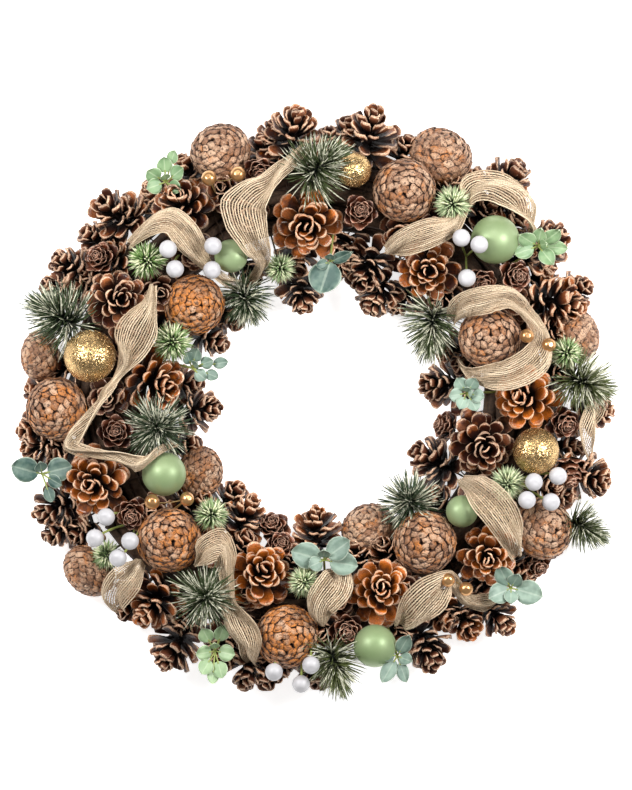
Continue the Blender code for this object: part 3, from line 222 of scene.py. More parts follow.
# Burlap ribbon: pixel, height above the ring's face in mm, width in mm and roll in degrees
RIBBONS = {
    "ribbon_1": (
        (306, 148, 30, 10, 0), (284, 168, 42, 15, 10), (266, 187, 50, 20, 20), (244, 206, 54, 42, 0),
        (252, 236, 50, 28, 0), (262, 262, 38, 12, 0), (246, 280, 26, 12, 0), (222, 279, 26, 12, 0),
        (204, 262, 32, 12, 0), (190, 241, 40, 24, 0), (171, 221, 46, 24, 0), (148, 229, 40, 14, 0),
        (130, 246, 26, 8, 0),
    ),
    "ribbon_2": (
        (389, 250, 28, 12, 0), (408, 240, 40, 24, 0), (432, 232, 46, 25, 0), (452, 226, 42, 16, 0),
        (463, 206, 34, 14, 0), (474, 190, 44, 26, 0), (495, 187, 58, 34, 0), (514, 196, 58, 34, 0),
        (527, 218, 46, 20, 0), (533, 238, 28, 8, 0),
    ),
    "ribbon_3": (
        (455, 322, 26, 14, 0), (464, 306, 42, 22, 0), (486, 300, 50, 24, 0), (508, 298, 44, 18, 0),
        (527, 314, 34, 12, 0), (541, 336, 34, 16, 0), (534, 360, 44, 28, 0), (508, 375, 48, 26, 0),
        (482, 374, 40, 20, 0), (461, 360, 26, 8, 0),
    ),
    "ribbon_4": (
        (153, 286, 30, 6, 0), (149, 305, 44, 14, 0), (138, 328, 50, 36, 0), (128, 350, 40, 28, 0),
        (114, 376, 34, 12, 0), (103, 403, 44, 12, 60), (84, 428, 48, 16, 40), (70, 445, 46, 16, 12),
        (92, 450, 48, 12, 42), (120, 455, 46, 12, 40), (147, 466, 46, 14, 24), (172, 459, 38, 8, 0),
    ),
    "ribbon_5": (
        (141, 562, 26, 10, 0), (128, 578, 40, 28, 0), (115, 594, 40, 30, 0), (122, 610, 24, 12, 0),
    ),
    "ribbon_6": (
        (192, 562, 26, 8, 0), (206, 551, 42, 24, 0), (220, 545, 46, 30, 0), (226, 570, 38, 14, 0),
        (229, 604, 36, 14, 0), (239, 622, 42, 24, 0), (251, 642, 42, 24, 0), (252, 663, 28, 10, 0),
    ),
    "ribbon_7": (
        (497, 596, 26, 8, 0), (484, 602, 34, 18, 0), (468, 600, 30, 12, 0), (448, 578, 36, 14, 0),
        (435, 591, 46, 32, 0), (418, 607, 46, 34, 0), (401, 624, 28, 12, 0),
    ),
    "ribbon_8": (
        (462, 481, 26, 10, 0), (478, 490, 42, 26, 0), (496, 508, 48, 32, 0), (510, 532, 44, 26, 0),
        (516, 556, 28, 12, 0),
    ),
    "ribbon_9": (
        (341, 571, 26, 14, 0), (334, 588, 44, 32, 0), (322, 603, 44, 28, 0), (320, 624, 26, 10, 0),
    ),
    "ribbon_10": (
        (589, 388, 24, 8, 0), (592, 405, 34, 16, 0), (586, 428, 38, 20, 0), (586, 452, 32, 12, 0),
        (591, 466, 22, 6, 0),
    ),
}

# Eucalyptus leaves by node: heading and tilt in degrees, then reach, length and half width in mm
SPRIGS = {
    "pine_spray_6": (
        (70, 20, 9, 15, 6), (120, 25, 9, 14, 6), (350, 20, 3, 15, 6.5), (190, 20, 3, 14, 6),
        (285, 10, 9, 15, 6), (240, 15, 9, 14, 6), (265, 10, 16, 12, 4.5), (95, 60, 2, 10, 4),
    ),
    "needle_tuft_1": (
        (20, 25, 8, 12, 5), (75, 30, 6, 13, 5.5), (340, 15, 12, 12, 4.5), (10, 10, 18, 13, 4.5),
        (320, 20, 4, 12, 5), (110, 30, 4, 12, 5), (45, 60, 2, 9, 4),
    ),
    "needle_tuft_3": (
        (165, 12, 3, 26, 10), (38, 16, 4, 24, 9), (350, 8, 5, 24, 9), (205, 30, 2, 14, 6),
        (90, 55, 2, 12, 5),
    ),
    "eucalyptus_1": (
        (95, 20, 8, 14, 6), (150, 25, 6, 14, 6.5), (40, 25, 6, 14, 6), (200, 20, 4, 14, 6),
        (75, 15, 16, 12, 4.5), (330, 30, 3, 13, 5.5), (100, 60, 2, 10, 4),
    ),
    "eucalyptus_2": (
        (252, 10, 0, 28, 12.5), (24, 40, 2, 24, 4.5), (195, 25, 2, 11, 4), (90, 60, 2, 10, 4),
    ),
    "eucalyptus_3": (
        (355, 15, 6, 20, 5.5), (35, 25, 5, 20, 6), (310, 25, 4, 18, 6), (150, 30, 3, 18, 6.5),
        (200, 20, 4, 18, 6), (80, 35, 3, 15, 5.5), (15, 60, 2, 12, 4.5),
    ),
    "eucalyptus_4": (
        (165, 10, 3, 24, 9.5), (15, 18, 5, 22, 9), (290, 5, 12, 13, 4.5), (330, 20, 6, 14, 5),
        (100, 45, 2, 12, 5),
    ),
    "eucalyptus_5": (
        (125, 22, 4, 12, 5.5), (60, 30, 4, 12, 5.5), (190, 20, 4, 12, 5.5), (300, 20, 5, 13, 5.5),
        (345, 25, 4, 12, 5.5), (245, 25, 4, 12, 5), (90, 62, 1, 9, 4.5), (10, 65, 1, 9, 4),
    ),
    "eucalyptus_6": (
        (120, 25, 3, 20, 7), (345, 12, 4, 24, 9.5), (205, 22, 2, 20, 8), (60, 40, 2, 15, 6),
        (270, 30, 2, 13, 5.5),
    ),
    "eucalyptus_7": (
        (60, 30, 3, 20, 6), (240, 12, 4, 22, 6), (290, 15, 6, 18, 5), (170, 30, 2, 15, 5.5),
        (340, 35, 2, 14, 5),
    ),
}

# How pale each sprig's leaves are, from a dark teal, 0, to a powdery green, 1
LEAF_TONES = {
    "pine_spray_6": 0.85, "needle_tuft_1": 0.55, "needle_tuft_3": 0.85, "eucalyptus_1": 0.4,
    "eucalyptus_2": 0.1, "eucalyptus_3": 0.5, "eucalyptus_4": 0.1, "eucalyptus_5": 1.0,
    "eucalyptus_6": 0.8, "eucalyptus_7": 0.55,
}
FRESH_SPRIGS = ("pine_spray_6", "eucalyptus_1", "eucalyptus_3")

# Pixels of small cones that show between the larger pieces
SMALL_CONES = (
    (209, 338), (190, 172), (158, 200), (63, 369), (44, 391), (264, 152), (328, 146), (404, 154),
    (482, 212), (564, 445), (557, 492), (455, 350), (62, 530), (86, 530), (132, 602), (278, 662),
    (182, 448), (194, 505), (440, 503), (481, 586), (404, 298), (556, 372), (345, 250), (334, 240),
    (386, 552), (66, 450), (341, 262), (297, 258), (446, 188), (512, 222), (538, 276), (552, 333),
    (470, 362), (446, 298), (518, 566), (397, 630), (546, 483), (442, 612), (358, 557), (150, 513),
    (248, 268), (229, 499), (98, 240), (97, 277), (186, 618), (574, 292), (292, 562), (242, 547),
    (508, 202), (468, 188), (323, 628), (158, 196), (400, 590), (133, 214), (112, 258), (163, 326),
    (86, 292), (246, 590), (136, 585), (250, 634), (184, 383), (60, 290), (275, 140), (346, 137),
    (36, 430), (316, 670), (268, 670), (520, 256), (226, 314),
)


# Small vector helpers
def unit(vector: Sequence[float] | Array) -> Array:
    """Gives the vector at length 1."""
    vector = np.asarray(vector, float)
    return vector / np.linalg.norm(vector)


def mix(low: float | Array, high: float | Array, share: float | Array) -> float | Array:
    """Gives the value that share of the way from low to high."""
    return low + (high - low) * share


# Where things rest
def rest_on_ring(pixel: tuple[float, float], lift: float) -> tuple[Array, Array]:
    """Finds the point below a pixel that lies off the ring's rounded face.

    Args:
        pixel: the place in the photograph.
        lift: how far off the face, in metres.

    Returns:
        The point and the unit vector out of the ring there.
    """
    x = (pixel[0] - PHOTO_CENTRE[0]) * PIXEL
    y = (PHOTO_CENTRE[1] - pixel[1]) * PIXEL
    distance = math.hypot(x, y)
    radial = np.array((x / distance, y / distance, 0.0))
    limit = math.cos(LOWEST_TILT)
    outward = max(-limit, min(limit, (distance - RING_RADIUS) / (BASE_HALF_WIDTH + lift)))
    upward = math.sqrt(1 - outward**2)
    height = BASE_MIDDLE + (BASE_HALF_HEIGHT + lift) * upward
    return radial * distance + UP * height, radial * outward + UP * upward


def base_gap(point: Array) -> float:
    """Gives the rough distance from a point to the ring's rounded face, below zero inside it."""
    across = (math.hypot(point[0], point[1]) - RING_RADIUS) / BASE_HALF_WIDTH
    upward = (point[2] - BASE_MIDDLE) / BASE_HALF_HEIGHT
    return (math.hypot(across, upward) - 1) * BASE_HALF_HEIGHT


def ring_middle(point: Array) -> Array:
    """Gives the nearest point of the circle that runs along the middle of the ring."""
    scale = RING_RADIUS / math.hypot(point[0], point[1])
    return np.array((point[0] * scale, point[1] * scale, BASE_MIDDLE))


@dataclass
class Piece:
    """One cone, ball, berry or bit of greenery.

    Its pixel is its place in the photograph. The width and lift are in millimetres, and the axis
    leans off the vertical towards the heading, both in degrees. Without a lean the axis stands
    square to the ring's rounded face. Warmth runs from a dark cone, 0, to an orange one, 1.
    """

    node: str
    kind: Kind
    pixel: tuple[float, float]
    width: float
    warmth: float = 0.4
    lean: float | None = None
    heading: float = 0.0
    lift: float | None = None
    size: float = field(init=False)
    across: float = field(init=False)
    along: float = field(init=False)
    centre: Array = field(init=False)
    axis: Array = field(init=False)

    def __post_init__(self) -> None:
        """Puts the piece on the ring's rounded face, below its pixel."""
        self.size = self.width * MM
        self.across, self.along, lift = self.kind.value
        self.centre, outward = rest_on_ring(self.pixel, (lift if self.lift is None else self.lift) * MM)
        self.axis = unit(outward * (AXIS_FLATTENING, AXIS_FLATTENING, 1))
        if self.lean is not None:
            lean, heading = math.radians(self.lean), math.radians(self.heading)
            flat = math.sin(lean)
            self.axis = np.array((flat * math.cos(heading), flat * math.sin(heading), math.cos(lean)))

    def core(self, direction: Array) -> float:
        """Gives how far the firm core reaches from the centre in a direction, a unit vector."""
        share = float(direction @ self.axis) ** 2
        return self.size * math.sqrt(self.across**2 * (1 - share) + self.along**2 * share)

    def root(self) -> Array:
        """Gives the point near the core's lower end where the piece's wire starts."""
        return self.centre - self.axis * self.along * self.size * WIRE_ROOT


def settle(pieces: Sequence[Piece]) -> None:
    """Pushes firm cores apart until they clear each other and the ring.

    Args:
        pieces: the placed pieces, whose centres move.
    """
    pairs = []
    for index, one in enumerate(pieces):
        for other in pieces[index + 1 :]:
            if np.linalg.norm(other.centre - one.centre) < one.size + other.size + NEIGHBOUR_MARGIN:
                pairs.append((one, other))
    for _ in range(SETTLE_ROUNDS):
        for one, other in pairs:
            between = other.centre - one.centre
            distance = np.linalg.norm(between)
            way = between / distance
            lacking = one.core(way) + other.core(-way) + SETTLE_GAP - distance
            if lacking > 0:
                one.centre = one.centre - way * lacking / 2
                other.centre = other.centre + way * lacking / 2
        for piece in pieces:
            outward = piece.centre - ring_middle(piece.centre)
            lacking = piece.core(unit(outward)) + BASE_GAP - base_gap(piece.centre)
            if lacking > 0:
                piece.centre = piece.centre + unit(outward) * lacking
            piece.centre[2] = max(piece.centre[2], piece.core(-UP) + FLOOR_HEIGHT)


class Layout:
    """Every piece in its settled place, and the rows that each ribbon runs through."""

    def __init__(self) -> None:
        """Settles the pieces and lays the ribbons over them."""
        table = [(node, row) for node, rows in PIECES.items() for row in rows]
        self.pieces = [Piece(node, kind, (x, y), *rest) for node, (kind, x, y, *rest) in table]
        settle(self.pieces)
        self.centres = np.array([piece.centre for piece in self.pieces])
        self.axes = np.array([piece.axis for piece in self.pieces])
        self.half_across = np.array([piece.across * piece.size for piece in self.pieces])
        self.half_along = np.array([piece.along * piece.size for piece in self.pieces])
        low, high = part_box("base_ring")
        self.shift = np.array(((low.x + high.x) / 2, (low.y + high.y) / 2, 0.0))
        self.ribbons = {node: self.ribbon_rows(stations) + self.shift for node, stations in RIBBONS.items()}
        for piece in self.pieces:
            piece.centre = piece.centre + self.shift

    def of(self, *kinds: Kind) -> dict[str, list[Piece]]:
        """Gives the pieces of some kinds, by node."""
        found: dict[str, list[Piece]] = {}
        for piece in self.pieces:
            if piece.kind in kinds:
                found.setdefault(piece.node, []).append(piece)
        return found

    def into_ring(self, point: Array) -> Array:
        """Gives the point just inside the ring, on the shortest way to the middle of its section."""
        point = point - self.shift
        middle = ring_middle(point)
        share = (1 - WIRE_DEPTH / BASE_HALF_HEIGHT) / (1 + max(base_gap(point), 0.0) / BASE_HALF_HEIGHT)
        return middle + (point - middle) * share + self.shift

    def under(self, rows: Array) -> tuple[str, ...]:
        """Gives the nodes of the pieces that a ribbon's rows lie close to."""
        gaps = self.core_gaps(rows.reshape(-1, 3) - self.shift).min(axis=0)
        return tuple(sorted({piece.node for piece, gap in zip(self.pieces, gaps) if gap < RIBBON_MARGIN * 2}))

    def core_gaps(self, points: Array) -> Array:
        """Gives the distances from each point to each piece's firm core, below zero inside it."""
        offset = points[:, None, :] - self.centres[None]
        along = np.einsum("pij,ij->pi", offset, self.axes)
        across = np.linalg.norm(offset - along[..., None] * self.axes[None], axis=2)
        shortest = np.minimum(self.half_across, self.half_along)
        return (np.hypot(across / self.half_across, along / self.half_along) - 1) * shortest

    def ribbon_rows(self, stations: Sequence[tuple]) -> Array:
        """Lays a ribbon through its stations and pushes it clear of every firm core.

        Args:
            stations: pixel, height above the ring's face in mm, width in mm and roll in degrees.

        Returns:
            Rows of three points across the ribbon.
        """
        given = []
        for x, y, lift, width, roll in stations:
            place, _ = rest_on_ring((x, y), lift * MM)
            given.append(np.array((*place, width * MM, math.radians(roll))))
        path = smooth_path(given, RIBBON_STEP)
        rows, side = [], None
        for index, row in enumerate(path):
            tangent = unit((path[min(index + 1, len(path) - 1)] - path[max(index - 1, 0)])[:3])
            across = np.cross(tangent, unit(row[:3] - ring_middle(row[:3])))
            across = unit(across) if side is None or np.linalg.norm(across) > LEAST_ACROSS else side
            if side is not None and across @ side < 0:
                across = -across
            side = across
            turned_side = across * math.cos(row[4]) + np.cross(tangent, across) * math.sin(row[4])
            rows.append([row[:3] + turned_side * row[3] * share for share in (-0.5, 0.0, 0.5)])
        rows = np.array(rows)
        for _ in range(RIBBON_ROUNDS):
            if not self.push_strip(rows):
                break
        return rows

    def push_strip(self, rows: Array) -> bool:
        """Moves a strip's points away from what any of its samples comes too close to.

        Args:
            rows: the strip's rows, changed in place.

        Returns:
            Whether any point moved.
        """
        moves = np.zeros_like(rows)
        weights, points = strip_samples(rows)
        gaps = self.core_gaps(points)
        nearest = gaps.argmin(axis=1)
        for point, share, gap, index in zip(points, weights, gaps.min(axis=1), nearest):
            push = np.zeros(3)
            if gap < RIBBON_MARGIN:
                push += unit(point - self.centres[index]) * (RIBBON_MARGIN - gap)
            lacking = RIBBON_MARGIN - base_gap(point)
            if lacking > 0:
                push += unit(point - ring_middle(point)) * lacking
            if push.any():
                for (row, column), weight in share:
                    if weight > LEAST_WEIGHT and push @ push > moves[row, column] @ moves[row, column]:
                        moves[row, column] = push
        rows += moves
        return bool(moves.any())


def smooth_path(points: Sequence[Array], step: float) -> list[Array]:
    """Gives points about a step apart on a Catmull-Rom curve.

    Args:
        points: the rows that the curve runs through, whose first three numbers are a place.
        step: the distance between the new rows, in metres.

    Returns:
        The rows on the curve.
    """
    rows = [2 * points[0] - points[1], *points, 2 * points[-1] - points[-2]]
    path = []
    for before, start, end, after in zip(rows, rows[1:], rows[2:], rows[3:]):
        pieces = max(1, round(np.linalg.norm((end - start)[:3]) / step))
        for index in range(pieces):
            t = index / pieces
            linear = (end - before) * t
            square = (2 * before - 5 * start + 4 * end - after) * t**2
            cube = (3 * start - before - 3 * end + after) * t**3
            path.append(0.5 * (2 * start + linear + square + cube))
    return [*path, points[-1]]


def strip_samples(rows: Array) -> tuple[list[tuple], Array]:
    """Gives points all over a strip.

    Args:
        rows: the strip's rows of three points.

    Returns:
        For each point the corners it lies between with their weights, and the points.
    """
    weights, points = [], []
    for row in range(len(rows) - 1):
        for column in range(2):
            corners = ((row, column), (row, column + 1), (row + 1, column), (row + 1, column + 1))
            near, near_side, far, _ = (rows[corner] for corner in corners)
            long_count = max(1, math.ceil(np.linalg.norm(far - near) / RIBBON_SAMPLE))
            wide_count = max(1, math.ceil(np.linalg.norm(near_side - near) / RIBBON_SAMPLE))
            for i in range(long_count + 1):
                for j in range(wide_count + 1):
                    u, v = i / long_count, j / wide_count
                    shares = ((1 - u) * (1 - v), (1 - u) * v, u * (1 - v), u * v)
                    weights.append(tuple(zip(corners, shares)))
                    points.append(sum(rows[corner] * share for corner, share in zip(corners, shares)))
    return weights, np.array(points)


# Node trees written as Python expressions
def operator(operation: str, reflected: bool = False) -> "Callable[[Value, Operand], Value]":
    """Makes the method behind one of Python's operators, or behind its reflected form."""

    def method(self: "Value", other: "Operand") -> "Value":
        """Works it out by a node."""
        return self.graph.maths(operation, *((other, self) if reflected else (self, other)))

    return method


class Value:
    """A node's output that Python's operators work on, by Math or Vector Math nodes."""

    __add__, __radd__ = operator("ADD"), operator("ADD", True)
    __sub__, __rsub__ = operator("SUBTRACT"), operator("SUBTRACT", True)
    __mul__, __rmul__ = operator("MULTIPLY"), operator("MULTIPLY", True)
    __truediv__, __pow__ = operator("DIVIDE"), operator("POWER")

    def __init__(self, graph: "Graph", socket: bpy.types.NodeSocket) -> None:
        """Wraps an output socket of the graph."""
        self.graph = graph
        self.socket = socket

    def __neg__(self) -> "Value":
        """Turns the sign."""
        return self * -1.0

    def call(self, operation: str, other: "Operand | None" = None) -> "Value":
        """Gives the result of any other operation of a Math or Vector Math node."""
        return self.graph.maths(operation, self, other)

    def between(self, low: float, high: float) -> "Value":
        """Gives 0 below low and 1 above high, with a smooth step between."""
        limits = {"Value": self, "From Min": low, "From Max": high}
        return self.graph.node("ShaderNodeMapRange", {"interpolation_type": "SMOOTHSTEP"}, limits)


Operand = Value | float | Sequence[float]


class Graph:
    """A tree of nodes being written, for a finish or for geometry."""

    def __init__(self, tree: bpy.types.NodeTree) -> None:
        """Wraps the tree."""
        self.tree = tree

    def node(
        self, kind: str, settings: dict | None = None, inputs: dict | None = None, output: str | int = 0
    ) -> Value:
        """Adds a node.

        Args:
            kind: the node's type.
            settings: its own settings, such as a Mix node's data type, set first.
            inputs: a value or link for each socket, by name or index.
            output: which output to give back.

        Returns:
            The output.
        """
        made = self.tree.nodes.new(kind)
        for name, value in (settings or {}).items():
            setattr(made, name, value)
        for key, value in (inputs or {}).items():
            self.feed(made.inputs[key], value)
        return Value(self, made.outputs[output])

    def feed(self, socket: bpy.types.NodeSocket, value: "Operand | str | bpy.types.ID | bool") -> None:
        """Links a value to a socket, or sets it there."""
        if isinstance(value, Value):
            self.tree.links.new(value.socket, socket)
        elif socket.type == "RGBA" and not isinstance(value, (int, float)) and len(value) == 3:
            socket.default_value = (*value, 1.0)
        else:
            socket.default_value = value

    def maths(self, operation: str, one: Operand, other: Operand | None = None) -> Value:
        """Adds a Math node, or a Vector Math node where a vector or colour takes part.

        Args:
            operation: the node's operation.
            one: the first operand.
            other: the second, if the operation takes one.

        Returns:
            The result.
        """
        operands = [one] if other is None else [one, other]
        numbers = all(is_number(operand) for operand in operands)
        made = self.tree.nodes.new("ShaderNodeMath" if numbers else "ShaderNodeVectorMath")
        made.operation = operation
        for socket, operand in zip(made.inputs, operands):
            self.feed(socket, operand)
        return Value(self, made.outputs["Value" if operation == "DOT_PRODUCT" else 0])

    def vector(self, x: Operand, y: Operand, z: Operand) -> Value:
        """Joins three numbers into a vector."""
        return self.node("ShaderNodeCombineXYZ", None, {"X": x, "Y": y, "Z": z})

    def blend(self, share: Operand, one: Operand, other: Operand) -> Value:
        """Mixes two colours, with a share of the second between 0 and 1."""
        return self.node("ShaderNodeMix", {"data_type": "RGBA"}, {0: share, 6: one, 7: other}, 2)


def is_number(operand: Operand) -> bool:
    """Tells whether an operand is a number or a link that carries one."""
    if isinstance(operand, Value):
        return operand.socket.type in ("VALUE", "INT", "BOOLEAN")
    return isinstance(operand, (int, float))


class Shader(Graph):
    """A finish's material under construction, round its Principled BSDF."""

    def __init__(self, name: str) -> None:
        """Starts a material."""
        self.material = bpy.data.materials.new(name)
        self.material.use_nodes = True
        super().__init__(self.material.node_tree)
        self.surface = self.tree.nodes["Principled BSDF"]
        self.place = self.node("ShaderNodeTexCoord", output="Object")

    def marks(self, *names: str) -> list[Value]:
        """Gives the numbers that the mesh stores at its points under some names."""
        return [self.node("ShaderNodeAttribute", {"attribute_name": name}, output="Fac") for name in names]

    def noise(self, scale: float, detail: float = 2.0) -> Value:
        """Gives noise between 0 and 1 with so many lumps to the metre."""
        inputs = {"Vector": self.place, "Scale": scale, "Detail": detail}
        return self.node("ShaderNodeTexNoise", None, inputs, "Fac")

    def relief(self, height: Value, distance: float, strength: float = 1.0) -> None:
        """Bumps the surface by a height between 0 and 1 that stands for a real distance in metres."""
        inputs = {"Height": height, "Distance": distance, "Strength": strength}
        self.feed(self.surface.inputs["Normal"], self.node("ShaderNodeBump", None, inputs))

    def dress(self, **sockets: Operand) -> bpy.types.Material:
        """Sets or links the surface's sockets.

        Args:
            sockets: values by socket name, with _ for each space.

        Returns:
            The material.
        """
        for name, value in sockets.items():
            self.feed(self.surface.inputs[name.replace("_", " ")], value)
        return self.material


class Recipe(Graph):
    """A Geometry Nodes tree with named inputs, run on its own to give a plain mesh."""

    def __init__(self) -> None:
        """Starts a tree that takes no geometry and gives one."""
        super().__init__(bpy.data.node_groups.new(type(self).__name__, "GeometryNodeTree"))
        self.tree.interface.new_socket("Geometry", in_out="OUTPUT", socket_type="NodeSocketGeometry")
        self.entry = self.tree.nodes.new("NodeGroupInput")
        self.identifiers: dict[str, str] = {}

    def given(self, name: str, kind: str = "Float") -> Value:
        """Adds a named input of a socket kind such as Float, Int, Vector, Object or Material."""
        made = self.tree.interface.new_socket(name, in_out="INPUT", socket_type="NodeSocket" + kind)
        self.identifiers[name] = made.identifier
        return Value(self, self.entry.outputs[name])

    def shape(self, name: str) -> Value:
        """Adds an input for an object, and gives the object's geometry."""
        return self.node("GeometryNodeObjectInfo", None, {"Object": self.given(name, "Object")}, "Geometry")

    def rotation(self, euler: Value) -> Value:
        """Gives the rotation that three angles make."""
        return self.node("FunctionNodeEulerToRotation", None, {"Euler": euler})

    def random(self, low: Operand, high: Operand, seed: Operand, salt: int) -> Value:
        """Gives each point or instance its own number between two limits."""
        inputs = {2: low, 3: high, "Seed": seed + salt}
        return self.node("FunctionNodeRandomValue", {"data_type": "FLOAT"}, inputs, 1)

    def store(self, geometry: Value, name: str, value: Operand) -> Value:
        """Stores a number under a name on each point."""
        inputs = {"Geometry": geometry, "Name": name, "Value": value}
        return self.node("GeometryNodeStoreNamedAttribute", {"data_type": "FLOAT"}, inputs)

    def together(self, *geometries: Value) -> Value:
        """Joins geometries."""
        joint = self.node("GeometryNodeJoinGeometry")
        for geometry in geometries:
            self.feed(joint.socket.node.inputs[0], geometry)
        return joint

    def end(self, geometry: Value) -> None:
        """Ends the tree: smooth shading, real instances and the material that its input names."""
        smooth = self.node("GeometryNodeSetShadeSmooth", None, {"Geometry": geometry})
        real = self.node("GeometryNodeRealizeInstances", None, {"Geometry": smooth})
        inputs = {"Geometry": real, "Material": self.given("Material", "Material")}
        leaving = self.tree.nodes.new("NodeGroupOutput")
        self.feed(leaving.inputs["Geometry"], self.node("GeometryNodeSetMaterial", None, inputs))

    def run(self, values: dict[str, object]) -> bpy.types.Mesh:
        """Runs the tree.

        Args:
            values: a value for each named input.

        Returns:
            The mesh that it makes.
        """
        host = new_object("host", bpy.data.meshes.new("host"))
        modifier = host.modifiers.new("Recipe", "NODES")
        modifier.node_group = self.tree
        for name, value in values.items():
            modifier[self.identifiers[name]] = value
        graph = bpy.context.evaluated_depsgraph_get()
        made = bpy.data.meshes.new_from_object(host.evaluated_get(graph))
        bpy.data.objects.remove(host)
        return made


# Meshes and pieces
def new_object(name: str, mesh: bpy.types.Mesh) -> bpy.types.Object:
    """Puts a mesh in the scene as an object at the origin."""
    made = bpy.data.objects.new(name, mesh)
    bpy.context.scene.collection.objects.link(made)
    return made


def joined(name: str, meshes: Sequence[bpy.types.Mesh]) -> bpy.types.Object:
    """Joins meshes into one object, with their attributes and materials kept.

    Args:
        name: the new object's name.
        meshes: the meshes, each in its place.

    Returns:
        The object, at the origin.
    """
    shapes = [new_object(name, mesh) for mesh in meshes]
    if len(shapes) > 1:
        with bpy.context.temp_override(
            active_object=shapes[0], object=shapes[0], selected_editable_objects=shapes,
            selected_objects=shapes,
        ):
            bpy.ops.object.join()
    shapes[0].name = name
    shapes[0].data.name = name
    return shapes[0]


def mark(mesh: bpy.types.Mesh, **values: Sequence[float]) -> bpy.types.Mesh:
    """Stores numbers at a mesh's corners, by attribute name."""
    for name, numbers in values.items():
        layer = mesh.attributes.new(name, "FLOAT", "POINT")
        layer.data.foreach_set("value", np.asarray(numbers, np.float32))
    return mesh


def mesh_of(
    name: str, points: Iterable, faces: Iterable[Sequence[int]], **values: Sequence[float]
) -> bpy.types.Mesh:
    """Makes a smooth mesh.

    Args:
        name: the mesh's name.
        points: the places of its corners.
        faces: the corners of each face, anticlockwise from outside.
        values: numbers to store at the corners, by attribute name.

    Returns:
        The mesh.
    """
    mesh = bpy.data.meshes.new(name)
    mesh.from_pydata(np.asarray(points, float).tolist(), [], [list(map(int, face)) for face in faces])
    mark(mesh, **values)
    mesh.shade_smooth()
    mesh.validate()
    return mesh


def turned(name: str, profile: Sequence[tuple[float, float]], segments: int) -> bpy.types.Mesh:
    """Turns a profile round the vertical, closed where it meets the axis at both ends.

    Args:
        name: the mesh's name.
        profile: radius and height from the top down. The first and last lie on the axis.
        segments: how many steps the turn has.

    Returns:
        The mesh.
    """
    inner = profile[1:-1]
    turns = np.arange(segments) * math.tau / segments
    points = [(0.0, 0.0, profile[0][1])]
    for radius, height in inner:
        points += [(radius * math.cos(turn), radius * math.sin(turn), height) for turn in turns]
    points.append((0.0, 0.0, profile[-1][1]))
    last, faces = len(points) - 1, []
    for index in range(segments):
        following = (index + 1) % segments
        faces.append((0, 1 + index, 1 + following))
        faces.append((last, last - segments + following, last - segments + index))
        for row in range(len(inner) - 1):
            near, far = 1 + row * segments, 1 + (row + 1) * segments
            faces.append((near + index, far + index, far + following, near + following))
    return mesh_of(name, points, faces)


def ball_mesh(
    name: str, rings: int, segments: int, dent: Callable[[float], float] | None = None
) -> bpy.types.Mesh:
    """Makes a ball of radius 1.

    Args:
        name: the mesh's name.
        rings: how many steps it has from pole to pole.
        segments: how many it has round.
        dent: what a ring's angle from the top takes off its height.

    Returns:
        The mesh.
    """
    turns = np.linspace(0, math.pi, rings + 1)
    profile = [(math.sin(turn), math.cos(turn) - (dent(turn) if dent else 0.0)) for turn in turns]
    return turned(name, profile, segments)


def placed(
    mesh: bpy.types.Mesh, centre: Array, axis: Array, scale: float, material: bpy.types.Material
) -> bpy.types.Mesh:
    """Scales a mesh, turns its +Z to an axis, moves its origin to a centre and paints it."""
    turn = Vector(axis).to_track_quat("Z", "Y").to_matrix().to_4x4()
    mesh.transform(Matrix.Translation(Vector(centre)) @ turn @ Matrix.Scale(scale, 4))
    return painted(mesh, material)


def painted(mesh: bpy.types.Mesh, material: bpy.types.Material) -> bpy.types.Mesh:
    """Gives a mesh its one material."""
    mesh.materials.clear()
    mesh.materials.append(material)
    return mesh


def seat(piece: bpy.types.Object, slot: str, *nodes: str) -> None:
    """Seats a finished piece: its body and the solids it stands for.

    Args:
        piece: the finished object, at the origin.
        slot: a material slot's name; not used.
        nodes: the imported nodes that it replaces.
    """
    points = np.empty(len(piece.data.vertices) * 3, np.float32)
    piece.data.vertices.foreach_get("co", points)
    points[2::3] = np.clip(points[2::3], LEAST_HEIGHT, MOST_HEIGHT)
    piece.data.vertices.foreach_set("co", points)
    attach(piece, BODY)
    if nodes:
        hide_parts(*nodes)
    log.info("%s: %d faces, in place of %s", piece.name, len(piece.data.polygons), nodes or "nothing")


# Geometry recipes
@dataclass(frozen=True)
class Spread:
    """How repeated shapes stand on a golden-angle spiral, as shares of the piece's width.

    A shape tilts from low to high, in degrees off level, on its way up the axis, and follows the
    core's own slope where follow is 1. Its depth is a share of its length.
    """

    count: int
    half_height: float
    belly: float
    tilt_low: float
    tilt_high: float
    length_low: float
    length_high: float
    breadth_low: float
    breadth_high: float
    lowest: float = -0.98
    highest: float = 0.98
    waist: float = 0.0
    depth: float = 1.0
    follow: float = 0.0
    crowding: float = 1.0
    tilt_power: float = 1.0
    turn_jitter: float = 4.0
    tilt_jitter: float = 6.0
    roll_jitter: float = 5.0
    wobble: float = 0.08
    core_across: float = 0.1
    core_along: float = 0.3
    core_mark: float = 0.0


